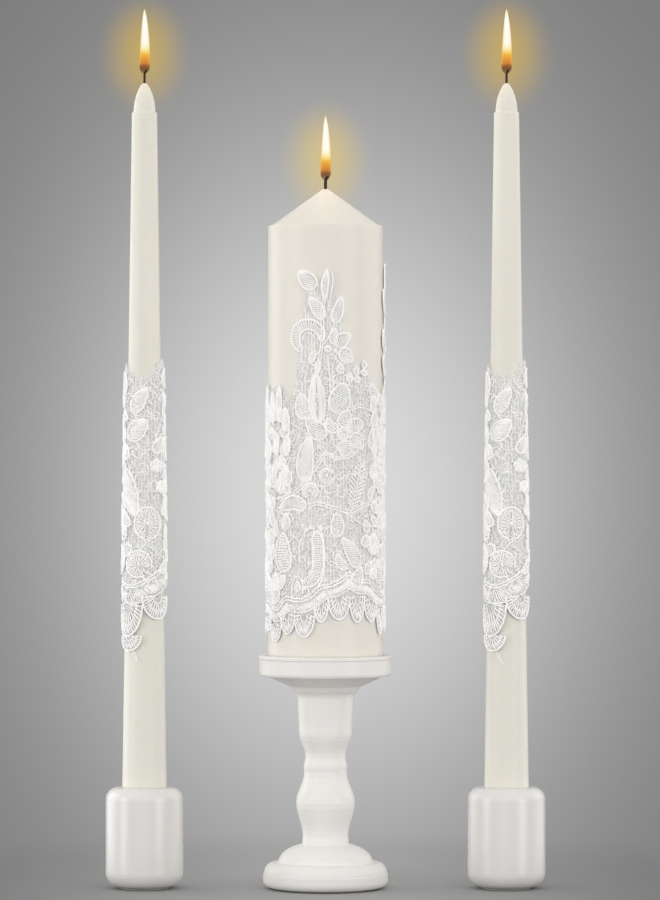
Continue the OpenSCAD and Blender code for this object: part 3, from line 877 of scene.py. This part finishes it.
def layNet(name, sleeve, top, bottom, flatStep, upStep, shift=0.0, overlap=3.0):
    # the net ground: top and bottom are heights that change round the candle
    heap = MeshHeap()
    wide = sleeve.turn + overlap
    columns = ceil(wide / flatStep)
    rowCount = ceil(max(h for _, h in top) - min(h for _, h in bottom)) // int(upStep)
    area = 0.0
    edges = []
    for c in range(columns + 1):
        u = wide * c / columns
        highest, lowest = heightAt(top, u % sleeve.turn), heightAt(bottom, u % sleeve.turn)
        edges.append((u, lowest, highest))
        area += (highest - lowest) * wide / columns
    rows, uvRows = [], []
    for r in range(rowCount + 1):
        row, uvRow = [], []
        for u, lowest, highest in edges:
            z = lowest + (highest - lowest) * r / rowCount
            lap = 0.25 * min(max((u - sleeve.turn + overlap) / overlap, 0.0), 1.0)
            row.append(sleeve.at(u + shift, z, embroidery["netHeight"] + lap))
            uvRow.append((u, z))
        rows.append(row)
        uvRows.append(uvRow)
    heap.grid(rows, uvRows)
    piece = heap.build(name, finishes["net"])
    piece.visible_shadow = False     # it casts no shadow; dark specks painted into its colour stand in for the threads' shadows
    tall = max(h for _, _, h in edges) - min(h for _, h, _ in edges)
    return piece, (wide * mm, tall * mm), area * mm * mm


def heightAt(line, u):
    for (u0, z0), (u1, z1) in zip(line, line[1:]):
        if u0 <= u <= u1:
            s = (u - u0) / (u1 - u0)
            s = s * s * (3 - 2 * s)
            return z0 + (z1 - z0) * s
    return line[-1][1]


def frontSpray(w):
    # climbs above the net: a scroll, a butterfly flower and leaves
    w.twinCord([(-4.5, 257), (-2.5, 266), (-1.5, 276), (-1.5, 286), (-0.5, 294)])
    w.satin([(-5.5, 298.5), (-9, 303), (-13.5, 307)], 7.6)
    w.satin([(-0.3, 293), (-0.3, 300), (0.8, 308)], 3.2, "leaf")
    w.cord([(1.2, 288), (2.6, 296), (3.6, 302), (3.2, 307)], 0.6)
    w.satin([(-1.2, 283.5), (-4, 289), (-7.6, 294.5)], 5.6)
    w.satin([(4.4, 281.5), (6.2, 288), (7.8, 294.5)], 4.8)
    w.cord([(-0.8, 271), (2, 276), (4.4, 281.5)], 0.6)
    w.satin(arcPath((-8.4, 274.4), 6.6, 246, -14), 5.0, "horn", slant=0.0)
    w.cord(arcPath((-8.4, 273.6), 3.0, 200, 20), 0.55)
    w.cord([(-13, 264), (-9, 262), (-5.5, 264.5), (-2.5, 268.5)], 0.6)
    w.satin([(5.6, 269.8), (8.4, 273.6), (12.4, 275.6)], 6.2)
    w.satin([(6.4, 267), (9.4, 266), (13, 262.6)], 6.4)
    w.satin([(3.6, 271.4), (3.8, 275), (4.8, 279)], 3.6)
    w.satin([(2.6, 268), (-0.4, 269.6)], 2.8, "leaf")
    w.button((4.8, 268), 1.1)
    w.cord([(1.2, 266), (1.8, 256), (2.4, 246), (1.6, 238)], 0.7)
    w.cord([(3.2, 262), (3.6, 254), (3.8, 246)], 0.6)
    w.satin([(-5, 268), (-7.6, 261.5)], 2.6, "leaf")
    w.satin([(-3.2, 263.5), (-4.2, 256)], 2.4, "leaf")
    w.satin([(6.8, 262), (7.6, 256.5)], 3.4, "drop")


def sideSpray(w):
    w.twinCord([(2, 250), (0, 262), (0.5, 276), (-0.5, 290), (0.5, 300)])
    w.satin([(0.5, 299), (1.5, 306), (0.5, 312)], 5.0)
    w.satin([(-0.5, 287), (-5, 293), (-7, 299)], 5.2)
    w.satin([(0.5, 282), (5, 288), (6.5, 294)], 4.8)
    w.satin(arcPath((4.5, 271), 4.8, -70, 170), 4.0, "horn", slant=0.0)
    w.satin([(-0.5, 268), (-6, 272), (-8, 279)], 5.0)
    w.satin([(0, 256), (-5, 260), (-8, 266)], 4.6)
    w.satin([(1, 252), (6, 256), (8, 261)], 4.4)


def frontPanel(w):
    # half a turn of the pillar's lace, from its left side to its right
    # leaves just under the front spray
    w.satin([(-3.4, 232.5), (-4.2, 245), (-4.6, 257)], 7.4, vein=True)
    w.satin([(-9.6, 234), (-11.2, 240.5), (-12.4, 247)], 7.6)
    w.satin([(5.5, 237), (7.2, 244.5), (9, 252)], 10.4, slant=0.3)
    w.cord([(10.5, 250.5), (14, 254), (18.5, 258), (23, 261.6)], 0.65)
    for root, tip in (((12, 252), (12, 257.4)), ((14, 254), (18, 253.6)), ((15.6, 255.4), (15.4, 260.6)),
                      ((18, 257.6), (22.2, 256.8)), ((20, 259), (20.4, 263.2))):
        w.satin([root, tip], 2.6, "leaf")
    w.satin([(31, 242.5), (27.5, 246.5), (24.5, 252)], 6.0)
    w.cord([(10.5, 238), (18, 240), (25, 238.5), (32, 240)], 0.6)
    # raised leaves down the left side
    w.satin([(-25, 232.5), (-25.2, 241), (-24.8, 250.5)], 3.6, "leaf", lift=0.35)
    w.satin([(-20.6, 228), (-20.4, 234), (-20.8, 240)], 4.0, lift=0.35)
    w.satin([(-30, 232), (-31.2, 240), (-31, 248)], 4.4, "leaf", lift=0.2)
    w.satin([(-36, 236), (-38.5, 243), (-37.5, 251)], 5.0, lift=0.3)
    w.fan((-24.6, 228.2), 0.7, 2.8, 200, 340, rings=False)
    w.satin([(-26.2, 226), (-27, 220), (-26.4, 215.5)], 3.4, "leaf", lift=0.35)
    w.satin([(-20.4, 226), (-19.8, 221), (-20.4, 216)], 3.8, "leaf", lift=0.35)
    w.flower((-24.2, 212.8), 3.6, 5, start=80, width=3.0)
    w.satin([(-28, 211), (-29.2, 206.5), (-28.6, 202)], 3.6, "leaf", lift=0.3)
    w.satin([(-21.2, 210), (-19, 206), (-19.4, 201)], 4.0, "leaf", lift=0.3)
    w.satin([(-24.4, 207), (-23.4, 202), (-23.8, 197)], 3.8, "leaf", lift=0.3)
    w.satin([(-35.5, 224), (-34.5, 218), (-36, 211)], 4.8, lift=0.3)
    w.satin([(-40, 224), (-41.5, 230), (-40.5, 236)], 4.6)
    w.flower((-38, 202.5), 5.0, 5, start=100, width=4.2)
    w.satin([(-33, 187), (-35.5, 191.5), (-34, 196.5)], 4.6)
    # middle of the panel
    w.satin([(9.2, 230), (9.6, 234), (11.4, 238.6)], 7.0, slant=0.2)
    w.satin([(11.8, 228.4), (15.4, 231.2), (19.6, 231.6)], 7.4, slant=0.2)
    w.satin([(12, 225), (16, 223.4), (18.4, 219)], 7.2, slant=0.2)
    w.satin([(8.6, 223.6), (9.4, 219.4), (8, 215.6)], 6.4, slant=0.2)
    w.satin([(6, 228.4), (2.6, 230.6), (1.2, 234.4)], 5.0, slant=0.2)
    w.fan((8.8, 227), 0.8, 3.0)
    w.satin([(-1.2, 224), (-5, 230), (-9.2, 234.5)], 8.0, slant=0.3)
    w.satin([(-9.6, 203), (-10, 214), (-7.6, 225.5)], 8.2)
    w.twinCord([(-4, 221.5), (-0.6, 217.5), (-6.4, 208), (-10.2, 202.5), (-15.5, 198), (-26, 194)], 1.2)
    w.twinCord([(-0.6, 217.5), (6, 215), (12, 216), (17, 219)], 1.0)
    w.fan((0.6, 206.2), 1.2, 3.5, 20, 350)
    w.cord([(-4, 201.5), (0, 201), (4, 203.5), (4.6, 207)], 0.6)
    w.fan((-7.4, 198.8), 0.9, 3.8, -60, 250)
    w.satin([(-9.6, 190), (-15.5, 193), (-20, 191.8), (-25, 189.5)], 6.6)
    w.fern([(13, 189.5), (14.5, 196), (16.5, 204), (18.5, 213)], 6.2)
    w.twinCord([(-8.4, 191.2), (-4, 192.5), (2, 191), (9.5, 189), (13, 188.6), (19.5, 191.5), (28, 193.6),
                (34, 196)], 1.3)
    # right side
    w.satin([(28, 218), (25.4, 224), (26, 230)], 4.6)
    w.satin([(32.6, 219), (35.5, 225), (34.5, 232)], 4.8)
    w.satin([(37, 236), (39.5, 242), (38.5, 249)], 5.0, lift=0.2)
    w.fan((30.5, 207), 1.3, 4.6)
    w.satin([(29.5, 212.5), (27, 216)], 3.0, "leaf")
    w.satin([(35.5, 206.5), (39, 211), (40, 216)], 4.4)
    w.satin([(27.6, 201), (24.4, 197.5), (23.6, 193.5)], 3.6, "leaf")
    w.satin([(36.5, 199), (38.5, 193), (37, 187)], 4.6, lift=0.2)
    w.flower((41.5, 224.5), 4.6, 5, start=60, width=3.8)
    # lower part
    w.satin([(5.4, 176), (5.8, 182), (5.4, 188)], 6.2, slant=0.2)
    w.cord([(7, 189), (11, 187), (18, 182.5), (24, 181.2), (30, 181.6)], 0.75)
    w.cord([(-4, 182.4), (-1.6, 177.5), (-0.6, 169), (-0.5, 161.5), (-1.4, 156), (-3.6, 151.4)], 0.9)
    w.satin([(-4.4, 179), (-3.6, 170), (-3.6, 161), (-6, 155), (-11.4, 152.6)], 5.0, "even", slant=0.1)
    w.cord([(-4.6, 181.5), (-10, 178.5), (-13, 171), (-12.6, 163)], 0.7)
    w.knots([(-21.6, 158.6), (-23, 168), (-22.6, 178)], 10.4, "egg")
    w.satin([(-22, 179.5), (-20.6, 183.6), (-21.4, 187.6)], 4.8)
    w.satin([(-26.6, 176), (-28.4, 180.4), (-27.6, 184.4)], 3.6)
    w.satin([(-28, 142.5), (-29, 150), (-28, 158)], 7.4)
    w.cord([(-17, 147.5), (-16.6, 153.6), (-14, 156.6), (-11.4, 153.6), (-11, 147.8)], 0.8)
    w.satin([(-14, 148.5), (-14, 154)], 3.0, "leaf")
    w.satin([(-34, 160), (-37, 169), (-34.5, 179)], 6.0)
    w.satin([(-41, 152), (-43, 160), (-41, 168)], 5.0)
    w.satin([(-33.5, 149), (-36.5, 153.5), (-37.5, 158.5)], 4.4)
    w.satin([(16.5, 160.5), (13.5, 168), (8.4, 175.5)], 6.6)
    w.satin([(14, 149.5), (16, 155), (18.4, 161)], 6.2)
    w.satin([(10.5, 160), (7, 163.5), (6, 168)], 4.0)
    w.fan((27, 172), 1.2, 4.8)
    w.satin([(30, 164.5), (26.5, 161), (25.5, 156.5)], 4.4)
    w.satin([(33, 152.5), (31.2, 158), (32.6, 163.5)], 5.0)
    w.satin([(37, 163), (40, 170), (38, 178)], 5.6)
    w.satin([(40.5, 151.5), (42.4, 156.5), (41.4, 161)], 4.4)
    w.satin([(32, 180), (34.5, 184.5), (33.5, 190)], 4.2)


def scatterLeaves(w, own, across, up, line):
    # small raised leaves, close together, that fill a strip of the lace
    count = round((across[1] - across[0]) / embroidery["leafAcross"])
    rows = round((up[1] - up[0]) / embroidery["leafUp"])
    for c in range(count):
        for r in range(rows):
            u = across[0] + (across[1] - across[0]) * (c + own.uniform(0.2, 0.8)) / count
            z = up[0] + (up[1] - up[0]) * (r + own.uniform(0.15, 0.85)) / rows
            lean, long = own.uniform(-0.75, 0.75), own.uniform(3.0, 4.4)
            tip = (u + long * sin(lean), z + long * cos(lean))
            root = (u - long * sin(lean), z - long * cos(lean))
            if root[1] > heightAt(line, u) + 1:
                w.satin([root, (u + own.uniform(-0.6, 0.6), z), tip], own.uniform(3.8, 5.2),
                        lift=own.uniform(-0.1, 0.45))


pillarLine = [(-45.5, 141), (-40, 144.5), (-34, 143.5), (-28, 140), (-24.5, 142.5), (-20.5, 145.5),
              (-16, 144.8), (-11, 145), (-6.5, 147.5), (-2.5, 151), (3, 152.4), (8, 155), (12, 157.8),
              (17, 154.2), (23.5, 153.6), (29, 149.6), (36, 147), (41, 149.5), (45.5, 148)]
pillarTabs = [(-45.4, -39.6, 126.5), (-39.6, -33, 128), (-33, -24.2, 123.2), (-24.2, -15.6, 127),
              (-15.6, -5.4, 125.8), (-5.4, 1.2, 133), (1.2, 12, 134.4), (12, 20.3, 132.6), (20.3, 29.8, 133),
              (29.8, 37.4, 126.2), (37.4, 45.4, 126.8)]
pillarLaceSetup = {
    "middle": 200,       # the height at which the girth is taken
    "loose": 0.3,        # how far the lace stands off the wax
    "sideShift": 46.5,   # from the front round to the side spray
    "leafSeed": 31,
    "leafStrips": (((-44, -30), (150, 246)), ((-30, -19), (196, 240)), ((-30, -21), (150, 158)),
                   ((25, 44), (156, 246)), ((19, 25), (158, 186))),
    "seam": -60.0,
    "top": [(-45.5, 251), (-38, 252), (-33, 249), (-29, 251), (-24, 251.5), (-19, 245), (-15.5, 250),
            (-14.5, 262), (-12, 283), (-8.5, 297), (-1, 304), (3, 305), (5, 295), (8, 292), (8.5, 275),
            (12.5, 270), (13, 262), (16, 255), (23, 257), (27, 251), (35, 248), (39, 251), (45.5, 256)],
    "below": 9,          # how far the net reaches under the wavy line
}


def pillarEdging(w):
    # the wavy double line, the worked band under it and the hanging tabs
    w.twinCord(pillarLine, 1.5, 0.8)
    w.band(offsetPath(smoothPath(pillarLine, 1.0), -1.4), 4.6)
    for left, right, bottom in pillarTabs:
        w.scallop(left, right, heightAt(pillarLine, (left + right) / 2) - 7.2, bottom)


def taperPanel(w):
    # half a turn
    w.satin([(-4.6, 237.5), (-2.6, 243), (1.4, 249.5)], 6.4, slant=-0.6)
    w.satin([(-6.6, 223.8), (-3.2, 229), (1.6, 233.6)], 8.6, slant=-0.7)
    w.satin([(5.0, 217.5), (7.8, 221.8), (10.6, 225.4)], 5.4)
    w.flower((6.2, 211.2), 3.2, 5, start=100, width=2.6)
    w.flower((8.4, 200.6), 3.0, 5, start=70, width=2.4)
    w.satin([(-11.5, 210), (-8.4, 200), (-3.4, 186)], 9.6, slant=0.8)
    w.fan((1.8, 182.4), 1.5, 5.9, -80, 258, tall=1.36)
    w.cord([(3.2, 174), (0.6, 172.2), (-0.8, 170)], 0.7)
    w.fan((-2.4, 162.2), 1.0, 5.7, -20, 300, tall=1.16)
    w.satin([(-6.6, 181), (-9.2, 184.6), (-10.6, 189.4)], 4.6, lift=0.3)
    w.satin([(-5.4, 171), (-8.6, 169), (-11.4, 165)], 5.0, lift=0.2)
    w.satin([(-12.6, 223), (-13.4, 230), (-12.6, 237)], 4.2, lift=0.3)
    w.satin([(-12.4, 240), (-13.6, 247), (-12.4, 253)], 4.4, lift=0.3)
    w.satin([(-12.8, 211), (-13.6, 216), (-12.6, 220.5)], 3.8, lift=0.3)
    w.flower((-12.6, 178), 4.4, 5, start=95, width=3.8)
    w.satin([(-10.2, 166), (-12.8, 161.6), (-13.4, 157)], 4.2, lift=0.2)
    w.satin([(11.4, 196), (13, 202.5), (11.8, 209)], 4.0)
    w.cord([(9.5, 232), (11, 226), (9.2, 216), (11, 206), (9.8, 194)], 0.6)
    w.satin([(11.6, 236), (13.4, 242), (12, 248)], 4.0)
    w.satin([(11.4, 168), (13.6, 174), (12.4, 181)], 4.4)
    w.cord([(2.5, 255), (6, 250), (9, 252.5), (13, 259)], 0.6)
    w.satin([(-16.2, 158), (-17, 165), (-16, 172)], 4.6, lift=0.3)
    w.satin([(-16.4, 184), (-17, 191), (-16, 198)], 4.4, lift=0.4)
    w.satin([(-16.6, 203), (-17.4, 209), (-16.4, 215)], 4.2, lift=0.3)
    w.satin([(-16.6, 246), (-17.4, 252), (-16.4, 258)], 4.4, lift=0.4)
    w.satin([(15.6, 184), (16.8, 190), (15.8, 196)], 4.2, lift=0.4)
    w.satin([(15.4, 214), (16.6, 220), (15.6, 226)], 4.2, lift=0.4)
    w.satin([(15.8, 250), (16.6, 255), (15.8, 260)], 4.0, lift=0.3)
    w.satin([(-10.4, 214), (-9.4, 218), (-9.8, 222)], 4.2, lift=0.2)
    w.satin([(9.6, 186.5), (11.6, 190), (11.2, 194.2)], 4.0)
    w.satin([(7.4, 158), (10.6, 160.6), (13.6, 165.4)], 4.4)


taperLine = [(-14.5, 154.6), (-10, 152), (-5, 151), (-1, 152.6), (3, 155.2), (8, 158.6), (14.5, 161.4)]
taperTabs = [(-14.4, -0.6, 142.6, 125.2), (-0.6, 12.6, 146.6, 134.2)]
taperLaceSetup = {
    "middle": 190,
    "loose": 0.8,
    "leafSeed": 17,
    "leafStrips": (((-17, -9.5), (158, 256)), ((11.5, 17), (164, 256))),
    "seam": -20.0,
    "top": [(-14.5, 263.5), (-7, 258), (-2, 255.5), (2.5, 257), (7.5, 263), (14.5, 265.5)],
    "below": 10,
}


def taperEdging(w):
    w.twinCord(taperLine, 1.3, 0.8)
    w.band(offsetPath(smoothPath(taperLine, 1.0), -1.2), 7.2)
    w.scallop(-11.6, -1.0, 127, 118.4)
    for left, right, top, bottom in taperTabs:
        w.scallop(left, right, top, bottom)
    w.cord([(-4.4, 119.4), (-3.2, 117), (-2.8, 114.6), (-1.4, 112.6)], 0.35, 0.4)
    w.cord([(-4.8, 119), (-3.6, 115.6), (-2.2, 113.8)], 0.3, 0.4)


def wrapLine(line, turn, start):
    # a half-turn line and its mirror image, run round from the given start
    half = turn / 2
    both = [(u, z) for u, z in line] + [(half - u, z) for u, z in reversed(line)][1:]
    return sorted(((u - start) % turn, z) for u, z in both)


def edgeLines(s, sleeve, line):
    # the net's upper and lower edges, all the way round
    low = [(u, z - s["below"]) for u, z in line]
    return [closeLine(wrapLine(edge, sleeve.turn, s["seam"]), sleeve.turn) for edge in (s["top"], low)]


def makePillarLace(s):
    sleeve = Sleeve("pillar_wax", s["middle"], s["loose"])
    half = sleeve.turn / 2
    front, back = Embroiderer(sleeve), Embroiderer(sleeve, half, True)
    for w in (front, back):
        w.open = True
        frontSpray(w)
        w.open = False
        frontPanel(w)
        own = Random(s["leafSeed"])
        for across, up in s["leafStrips"]:
            scatterLeaves(w, own, across, up, pillarLine)
    side = Embroiderer(sleeve, s["sideShift"])
    sideSpray(side)
    edging = [Embroiderer(sleeve), Embroiderer(sleeve, half, True)]
    for w in edging:
        pillarEdging(w)
    satin, cord = finishes["satinThread"], finishes["cordThread"]
    sprays = (("front", front), ("back", back), ("side", side))
    pieces = [w.satinHeap.build(f"pillar_lace_{name}_satin", satin) for name, w in sprays]
    pieces += [w.cordHeap.build(f"pillar_lace_{name}_cords", cord) for name, w in sprays]
    borders = []
    for w, name in zip(edging, ("front", "back")):
        borders.append(w.satinHeap.build("pillar_lace_border_" + name, satin))
        borders.append(w.cordHeap.build("pillar_lace_border_cords_" + name, cord))
    top, bottom = edgeLines(s, sleeve, pillarLine)
    net, flat, area = layNet("pillar_lace_ground", sleeve, top, bottom, 1.0, 3, s["seam"])
    pieces += borders + workGround("pillar_lace_ground", sleeve, top, bottom, s["seam"], groundSetup)
    for piece in (net, *pieces):
        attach(piece, "pillar_candle")
    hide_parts("pillar_lace_net")
    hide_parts("pillar_lace_sprays")
    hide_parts("pillar_lace_border")


def closeLine(line, turn):
    # makes a line meet itself where it comes round
    first, last = line[0], line[-1]
    gap = first[0] + turn - last[0]
    z = last[1] + (first[1] - last[1]) * ((turn - last[0]) / gap if gap else 0.0)
    return [(0.0, z), *[p for p in line if 0.0 < p[0] < turn], (turn, z)]


def makeTaperLace(side, s):
    sleeve = Sleeve(side + "_taper_wax", s["middle"], s["loose"])
    half = sleeve.turn / 2
    panels = [Embroiderer(sleeve), Embroiderer(sleeve, half, True)]
    for w in panels:
        taperPanel(w)
        own = Random(s["leafSeed"])
        for across, up in s["leafStrips"]:
            scatterLeaves(w, own, across, up, taperLine)
    edging = [Embroiderer(sleeve), Embroiderer(sleeve, half, True)]
    for w in edging:
        taperEdging(w)
    pieces = []
    for w, name in zip(panels + edging, ("front", "back", "border_front", "border_back")):
        pieces.append(w.satinHeap.build(f"{side}_lace_{name}_satin", finishes["satinThread"]))
        pieces.append(w.cordHeap.build(f"{side}_lace_{name}_cords", finishes["cordThread"]))
    name = side + "_lace_ground"
    top, bottom = edgeLines(s, sleeve, taperLine)
    net, flat, area = layNet(name, sleeve, top, bottom, 0.9, 3, s["seam"], overlap=2.0)
    pieces += workGround(name, sleeve, top, bottom, s["seam"], groundSetup)
    for piece in (net, *pieces):
        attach(piece, side + "_taper")
    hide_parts(side + "_taper_lace_net")
    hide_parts(side + "_taper_lace_spray")
    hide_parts(side + "_taper_lace_border")


makePillarLace(pillarLaceSetup)
for side in ("left", "right"):
    makeTaperLace(side, taperLaceSetup)
print("lace laid")


flameSetup = {
    "rings": 40, "sides": 24,
    "widest": 0.16,      # how far up its height a flame is widest
    "lean": 0.25,
    "power": 0.008,
    "glow": (1.0, 0.72, 0.4),
    "heart": 0.4,        # where on its height the light sits
    "softness": 0.012,
}


def turnShell(name, material, rings, sides):
    # a turned surface through rings of (x, y, z, radius, place on the uv map)
    heap = MeshHeap()
    heap.grid([[(x + radius * cos(2 * pi * k / sides), y + radius * sin(2 * pi * k / sides), z)
                for k in range(sides)] for x, y, z, radius, _ in rings],
              [[(k / sides, v) for k in range(sides + 1)] for *_, v in rings], closed=True)
    return heap.build(name, material)


def flameSpot(node, share):
    # a point on the flame's middle line
    low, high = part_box(node)
    return (low[0] + high[0]) / 2, (low[1] + high[1]) / 2, low[2] + share * (high[2] - low[2])


def carry(thing, body):
    thing.parent = frame["bodies"][body]
    thing.matrix_parent_inverse = thing.parent.matrix_world.inverted()


def makeFlamePiece(node, body, name, s):
    # a lathe of the flame's outline that leans a little towards its tip
    low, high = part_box(node)
    x, y, foot = flameSpot(node, 0.0)
    tall, reach = high[2] - low[2], (high[0] - low[0]) / 2
    rings = []
    for r in range(s["rings"] + 1):
        v = (1 - cos(pi * r / s["rings"])) / 2
        swell = sqrt(max(1 - (1 - v / s["widest"]) ** 2, 0)) if v < s["widest"] else 1.0
        share = swell * (1 - 0.3 * (v - s["widest"])) * max(1 - v ** 3, 0.0) ** 0.72
        rings.append((x + s["lean"] * mm * sin(pi * v), y, foot + tall * v, max(reach * share, 1e-5), v))
    piece = turnShell(name, finishes["flame"], rings, s["sides"])
    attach(piece, body)
    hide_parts(node)


def addFlameLight(node, body, s):
    data = bpy.data.lights.new(node + "_light", "POINT")
    data.energy, data.color, data.shadow_soft_size = s["power"], s["glow"], s["softness"]
    lamp = bpy.data.objects.new(node + "_light", data)
    lamp.location = flameSpot(node, s["heart"])
    bpy.context.scene.collection.objects.link(lamp)
    carry(lamp, body)


for node, body in (("pillar_flame", "pillar_candle"), ("left_taper_flame", "left_taper"),
                   ("right_taper_flame", "right_taper")):
    makeFlamePiece(node, body, node + "_glow", flameSetup)
    addFlameLight(node, body, flameSetup)
print("flames lit")


solidFinishes = {
    "holder_base": "paint", "holder_column": "paint", "holder_plate": "paint",
    "plate_screw": "brass", "base_screw": "brass", "base_felt_pad": "felt",
    "pillar_wax": "pillarWax", "pillar_wick": "wick", "pillar_wick_tab": "tin",
    "left_taper_holder": "glaze", "right_taper_holder": "glaze",
    "left_holder_felt": "felt", "right_holder_felt": "felt",
    "left_taper_wax": "taperWax", "right_taper_wax": "taperWax",
    "left_taper_wick": "wick", "right_taper_wick": "wick",
}
for node, finish in solidFinishes.items():
    piece = cadNodes[node]
    piece.data.materials.clear()
    piece.data.materials.append(finishes[finish])


stageSetup = {
    "floorRadius": 0.55, "solid": 0.13, "fade": 0.34,   # the floor fades into the backdrop
    "floorGrey": 0.37,
    "paintedFalloffShare": 0.6,       # painted shade, a falloff of the light: how much of that grey is left towards the rim
    "paintedFalloffReach": (0.04, 0.17),
    "backGrey": 0.19,      # the backdrop away from its pools of light
    "poolGrey": 0.52,
    "poolReach": 0.0617,   # tangent of the pool's half width
    "poolTall": 1.367,
    "poolHeight": -0.0091,
    "domeGrey": 0.77,      # overhead
    "underGrey": 0.3,      # below the horizon, where the floor has faded out
}
lightSetup = {
    # place, size, power
    "leftPanel": ((-1.3, 0.55, 0.2), (1.1, 1.5), 10.6),
    "rightPanel": ((1.3, 0.5, 0.2), (1.1, 1.5), 6.3),
    "frontRight": ((1.9, -1.8, 0.4), (1.0, 1.5), 23.5),
    "frontLeft": ((-2.35, -1.2, 0.4), (0.9, 1.5), 22.6),
    "frontFill": ((-0.3, -2.7, 0.6), (2.6, 1.8), 15.8),
}
haloSetup = {"radius": 0.0275, "stretch": 1.22, "middle": 0.3, "strength": 0.56, "falloff": 5.0}


def makeFloor(s):
    # a pale disc whose rim turns clear, so that floor and backdrop meet without a line
    mat, tree, shader = startMaterial("floorPaper", **{"Roughness": 0.9, "Specular IOR Level": 0.1})
    soft = useGroup(tree, mottle, Base=(s["floorGrey"],) * 3, Tint=(s["floorGrey"] * 0.97,) * 3,
                    Amount=0.3, Scale=6.0, Rough=0.9, RoughSpread=0.05)
    place = vecCalc(tree, "MULTIPLY", coords(tree, "Object"), (1.0, 1.0, 0.0))
    sideways = vecCalc(tree, "LENGTH", vecCalc(tree, "MULTIPLY", place, (1.0, 0.15, 0.0)), out="Value")
    # painted shade: the grey is painted darker towards the sides, a falloff of the light
    paintedFalloff = remap(tree, sideways, *s["paintedFalloffReach"], 1.04, s["paintedFalloffShare"], smooth=False)
    tree.links.new(vecCalc(tree, "MULTIPLY", soft.outputs["Color"], paintedFalloff), shader.inputs["Base Color"])
    gone = remap(tree, vecCalc(tree, "LENGTH", place, out="Value"), s["solid"], s["fade"])
    tree.links.new(calc(tree, "SUBTRACT", 1.0, gone), shader.inputs["Alpha"])
    rings = 16
    turnShell("studioFloor", mat, [
        (0, 0, -0.00005, max(s["floorRadius"] * r / rings, 1e-4), r) for r in range(rings + 1)], 72)


def makeBackdrop(s):
    # an even grey room with a soft upright pool of light on each of its four sides
    world.use_nodes = True
    tree = world.node_tree
    x, y, z = axes(tree, coords(tree, "Generated"))
    turn = calc(tree, "ARCTAN2", x, y)
    quarter = calc(tree, "ROUND", calc(tree, "DIVIDE", turn, pi / 2))
    aside = calc(tree, "SUBTRACT", turn, calc(tree, "MULTIPLY", quarter, pi / 2))
    squares = [calc(tree, "MULTIPLY", axis, axis) for axis in (x, y)]
    level = calc(tree, "SQRT", calc(tree, "ADD", *squares))
    rise = calc(tree, "DIVIDE", z, calc(tree, "MAXIMUM", level, 0.001))
    upright = calc(tree, "DIVIDE", calc(tree, "SUBTRACT", rise, s["poolHeight"]), s["poolTall"])
    far = calc(tree, "ADD", calc(tree, "MULTIPLY", aside, aside), calc(tree, "MULTIPLY", upright, upright))
    pool = calc(tree, "EXPONENT", calc(tree, "DIVIDE", far, -s["poolReach"] ** 2))
    grey = calc(tree, "MULTIPLY_ADD", pool, s["poolGrey"], s["backGrey"])
    for start, end, tone in ((0.2, 0.6, s["domeGrey"]), (-0.13, -0.3, s["underGrey"])):
        grey = calc(tree, "ADD", grey, remap(tree, rise, start, end, 0.0, tone - s["backGrey"]))
    tree.links.new(grey, tree.nodes["Background"].inputs["Color"])
    tree.nodes["Background"].inputs["Strength"].default_value = 1.0


def addArea(name, place, size, power):
    data = bpy.data.lights.new(name, "AREA")
    data.shape, data.size, data.size_y = "RECTANGLE", size[0], size[1]
    data.energy = power
    lamp = bpy.data.objects.new(name, data)
    lamp.location = place
    lamp.rotation_euler = (Vector((0, 0, 0.22)) - Vector(place)).to_track_quat("-Z", "Y").to_euler()
    bpy.context.scene.collection.objects.link(lamp)


def addHalo(node, body, colour, s):
    # the warm glow in the air round a flame: the far half of a shell, seen only by the camera
    mat, tree, shader = startMaterial(node + "HaloAir", **{
        "Base Color": (0, 0, 0, 1), "Specular IOR Level": 0.0, "Emission Color": (*colour, 1),
        "Emission Strength": 1.0})
    edge = newNode(tree, "ShaderNodeLayerWeight")
    edge.inputs["Blend"].default_value = 0.5
    facing = calc(tree, "SUBTRACT", 1.0, edge.outputs["Facing"])
    glow = calc(tree, "MULTIPLY", calc(tree, "POWER", facing, s["falloff"]), s["strength"])
    back = newNode(tree, "ShaderNodeNewGeometry").outputs["Backfacing"]
    tree.links.new(calc(tree, "MULTIPLY", glow, back), shader.inputs["Alpha"])
    rings = 24
    halo = turnShell(node + "_air", mat, [
        (0, 0, -s["radius"] * s["stretch"] * cos(pi * r / rings),
         s["radius"] * max(sin(pi * r / rings), 1e-4), r / rings) for r in range(rings + 1)], 40)
    halo.location = flameSpot(node, s["middle"])
    for ray in ("diffuse", "glossy", "transmission", "shadow"):
        setattr(halo, "visible_" + ray, False)
    carry(halo, body)


makeFloor(stageSetup)
makeBackdrop(stageSetup)
for name, values in lightSetup.items():
    addArea(name, *values)
addHalo("pillar_flame", "pillar_candle", (0.83, 0.61, 0.15), haloSetup)
addHalo("left_taper_flame", "left_taper", (0.75, 0.49, 0.04), haloSetup)
addHalo("right_taper_flame", "right_taper", (0.75, 0.49, 0.04), haloSetup)
print("stage and lights set")
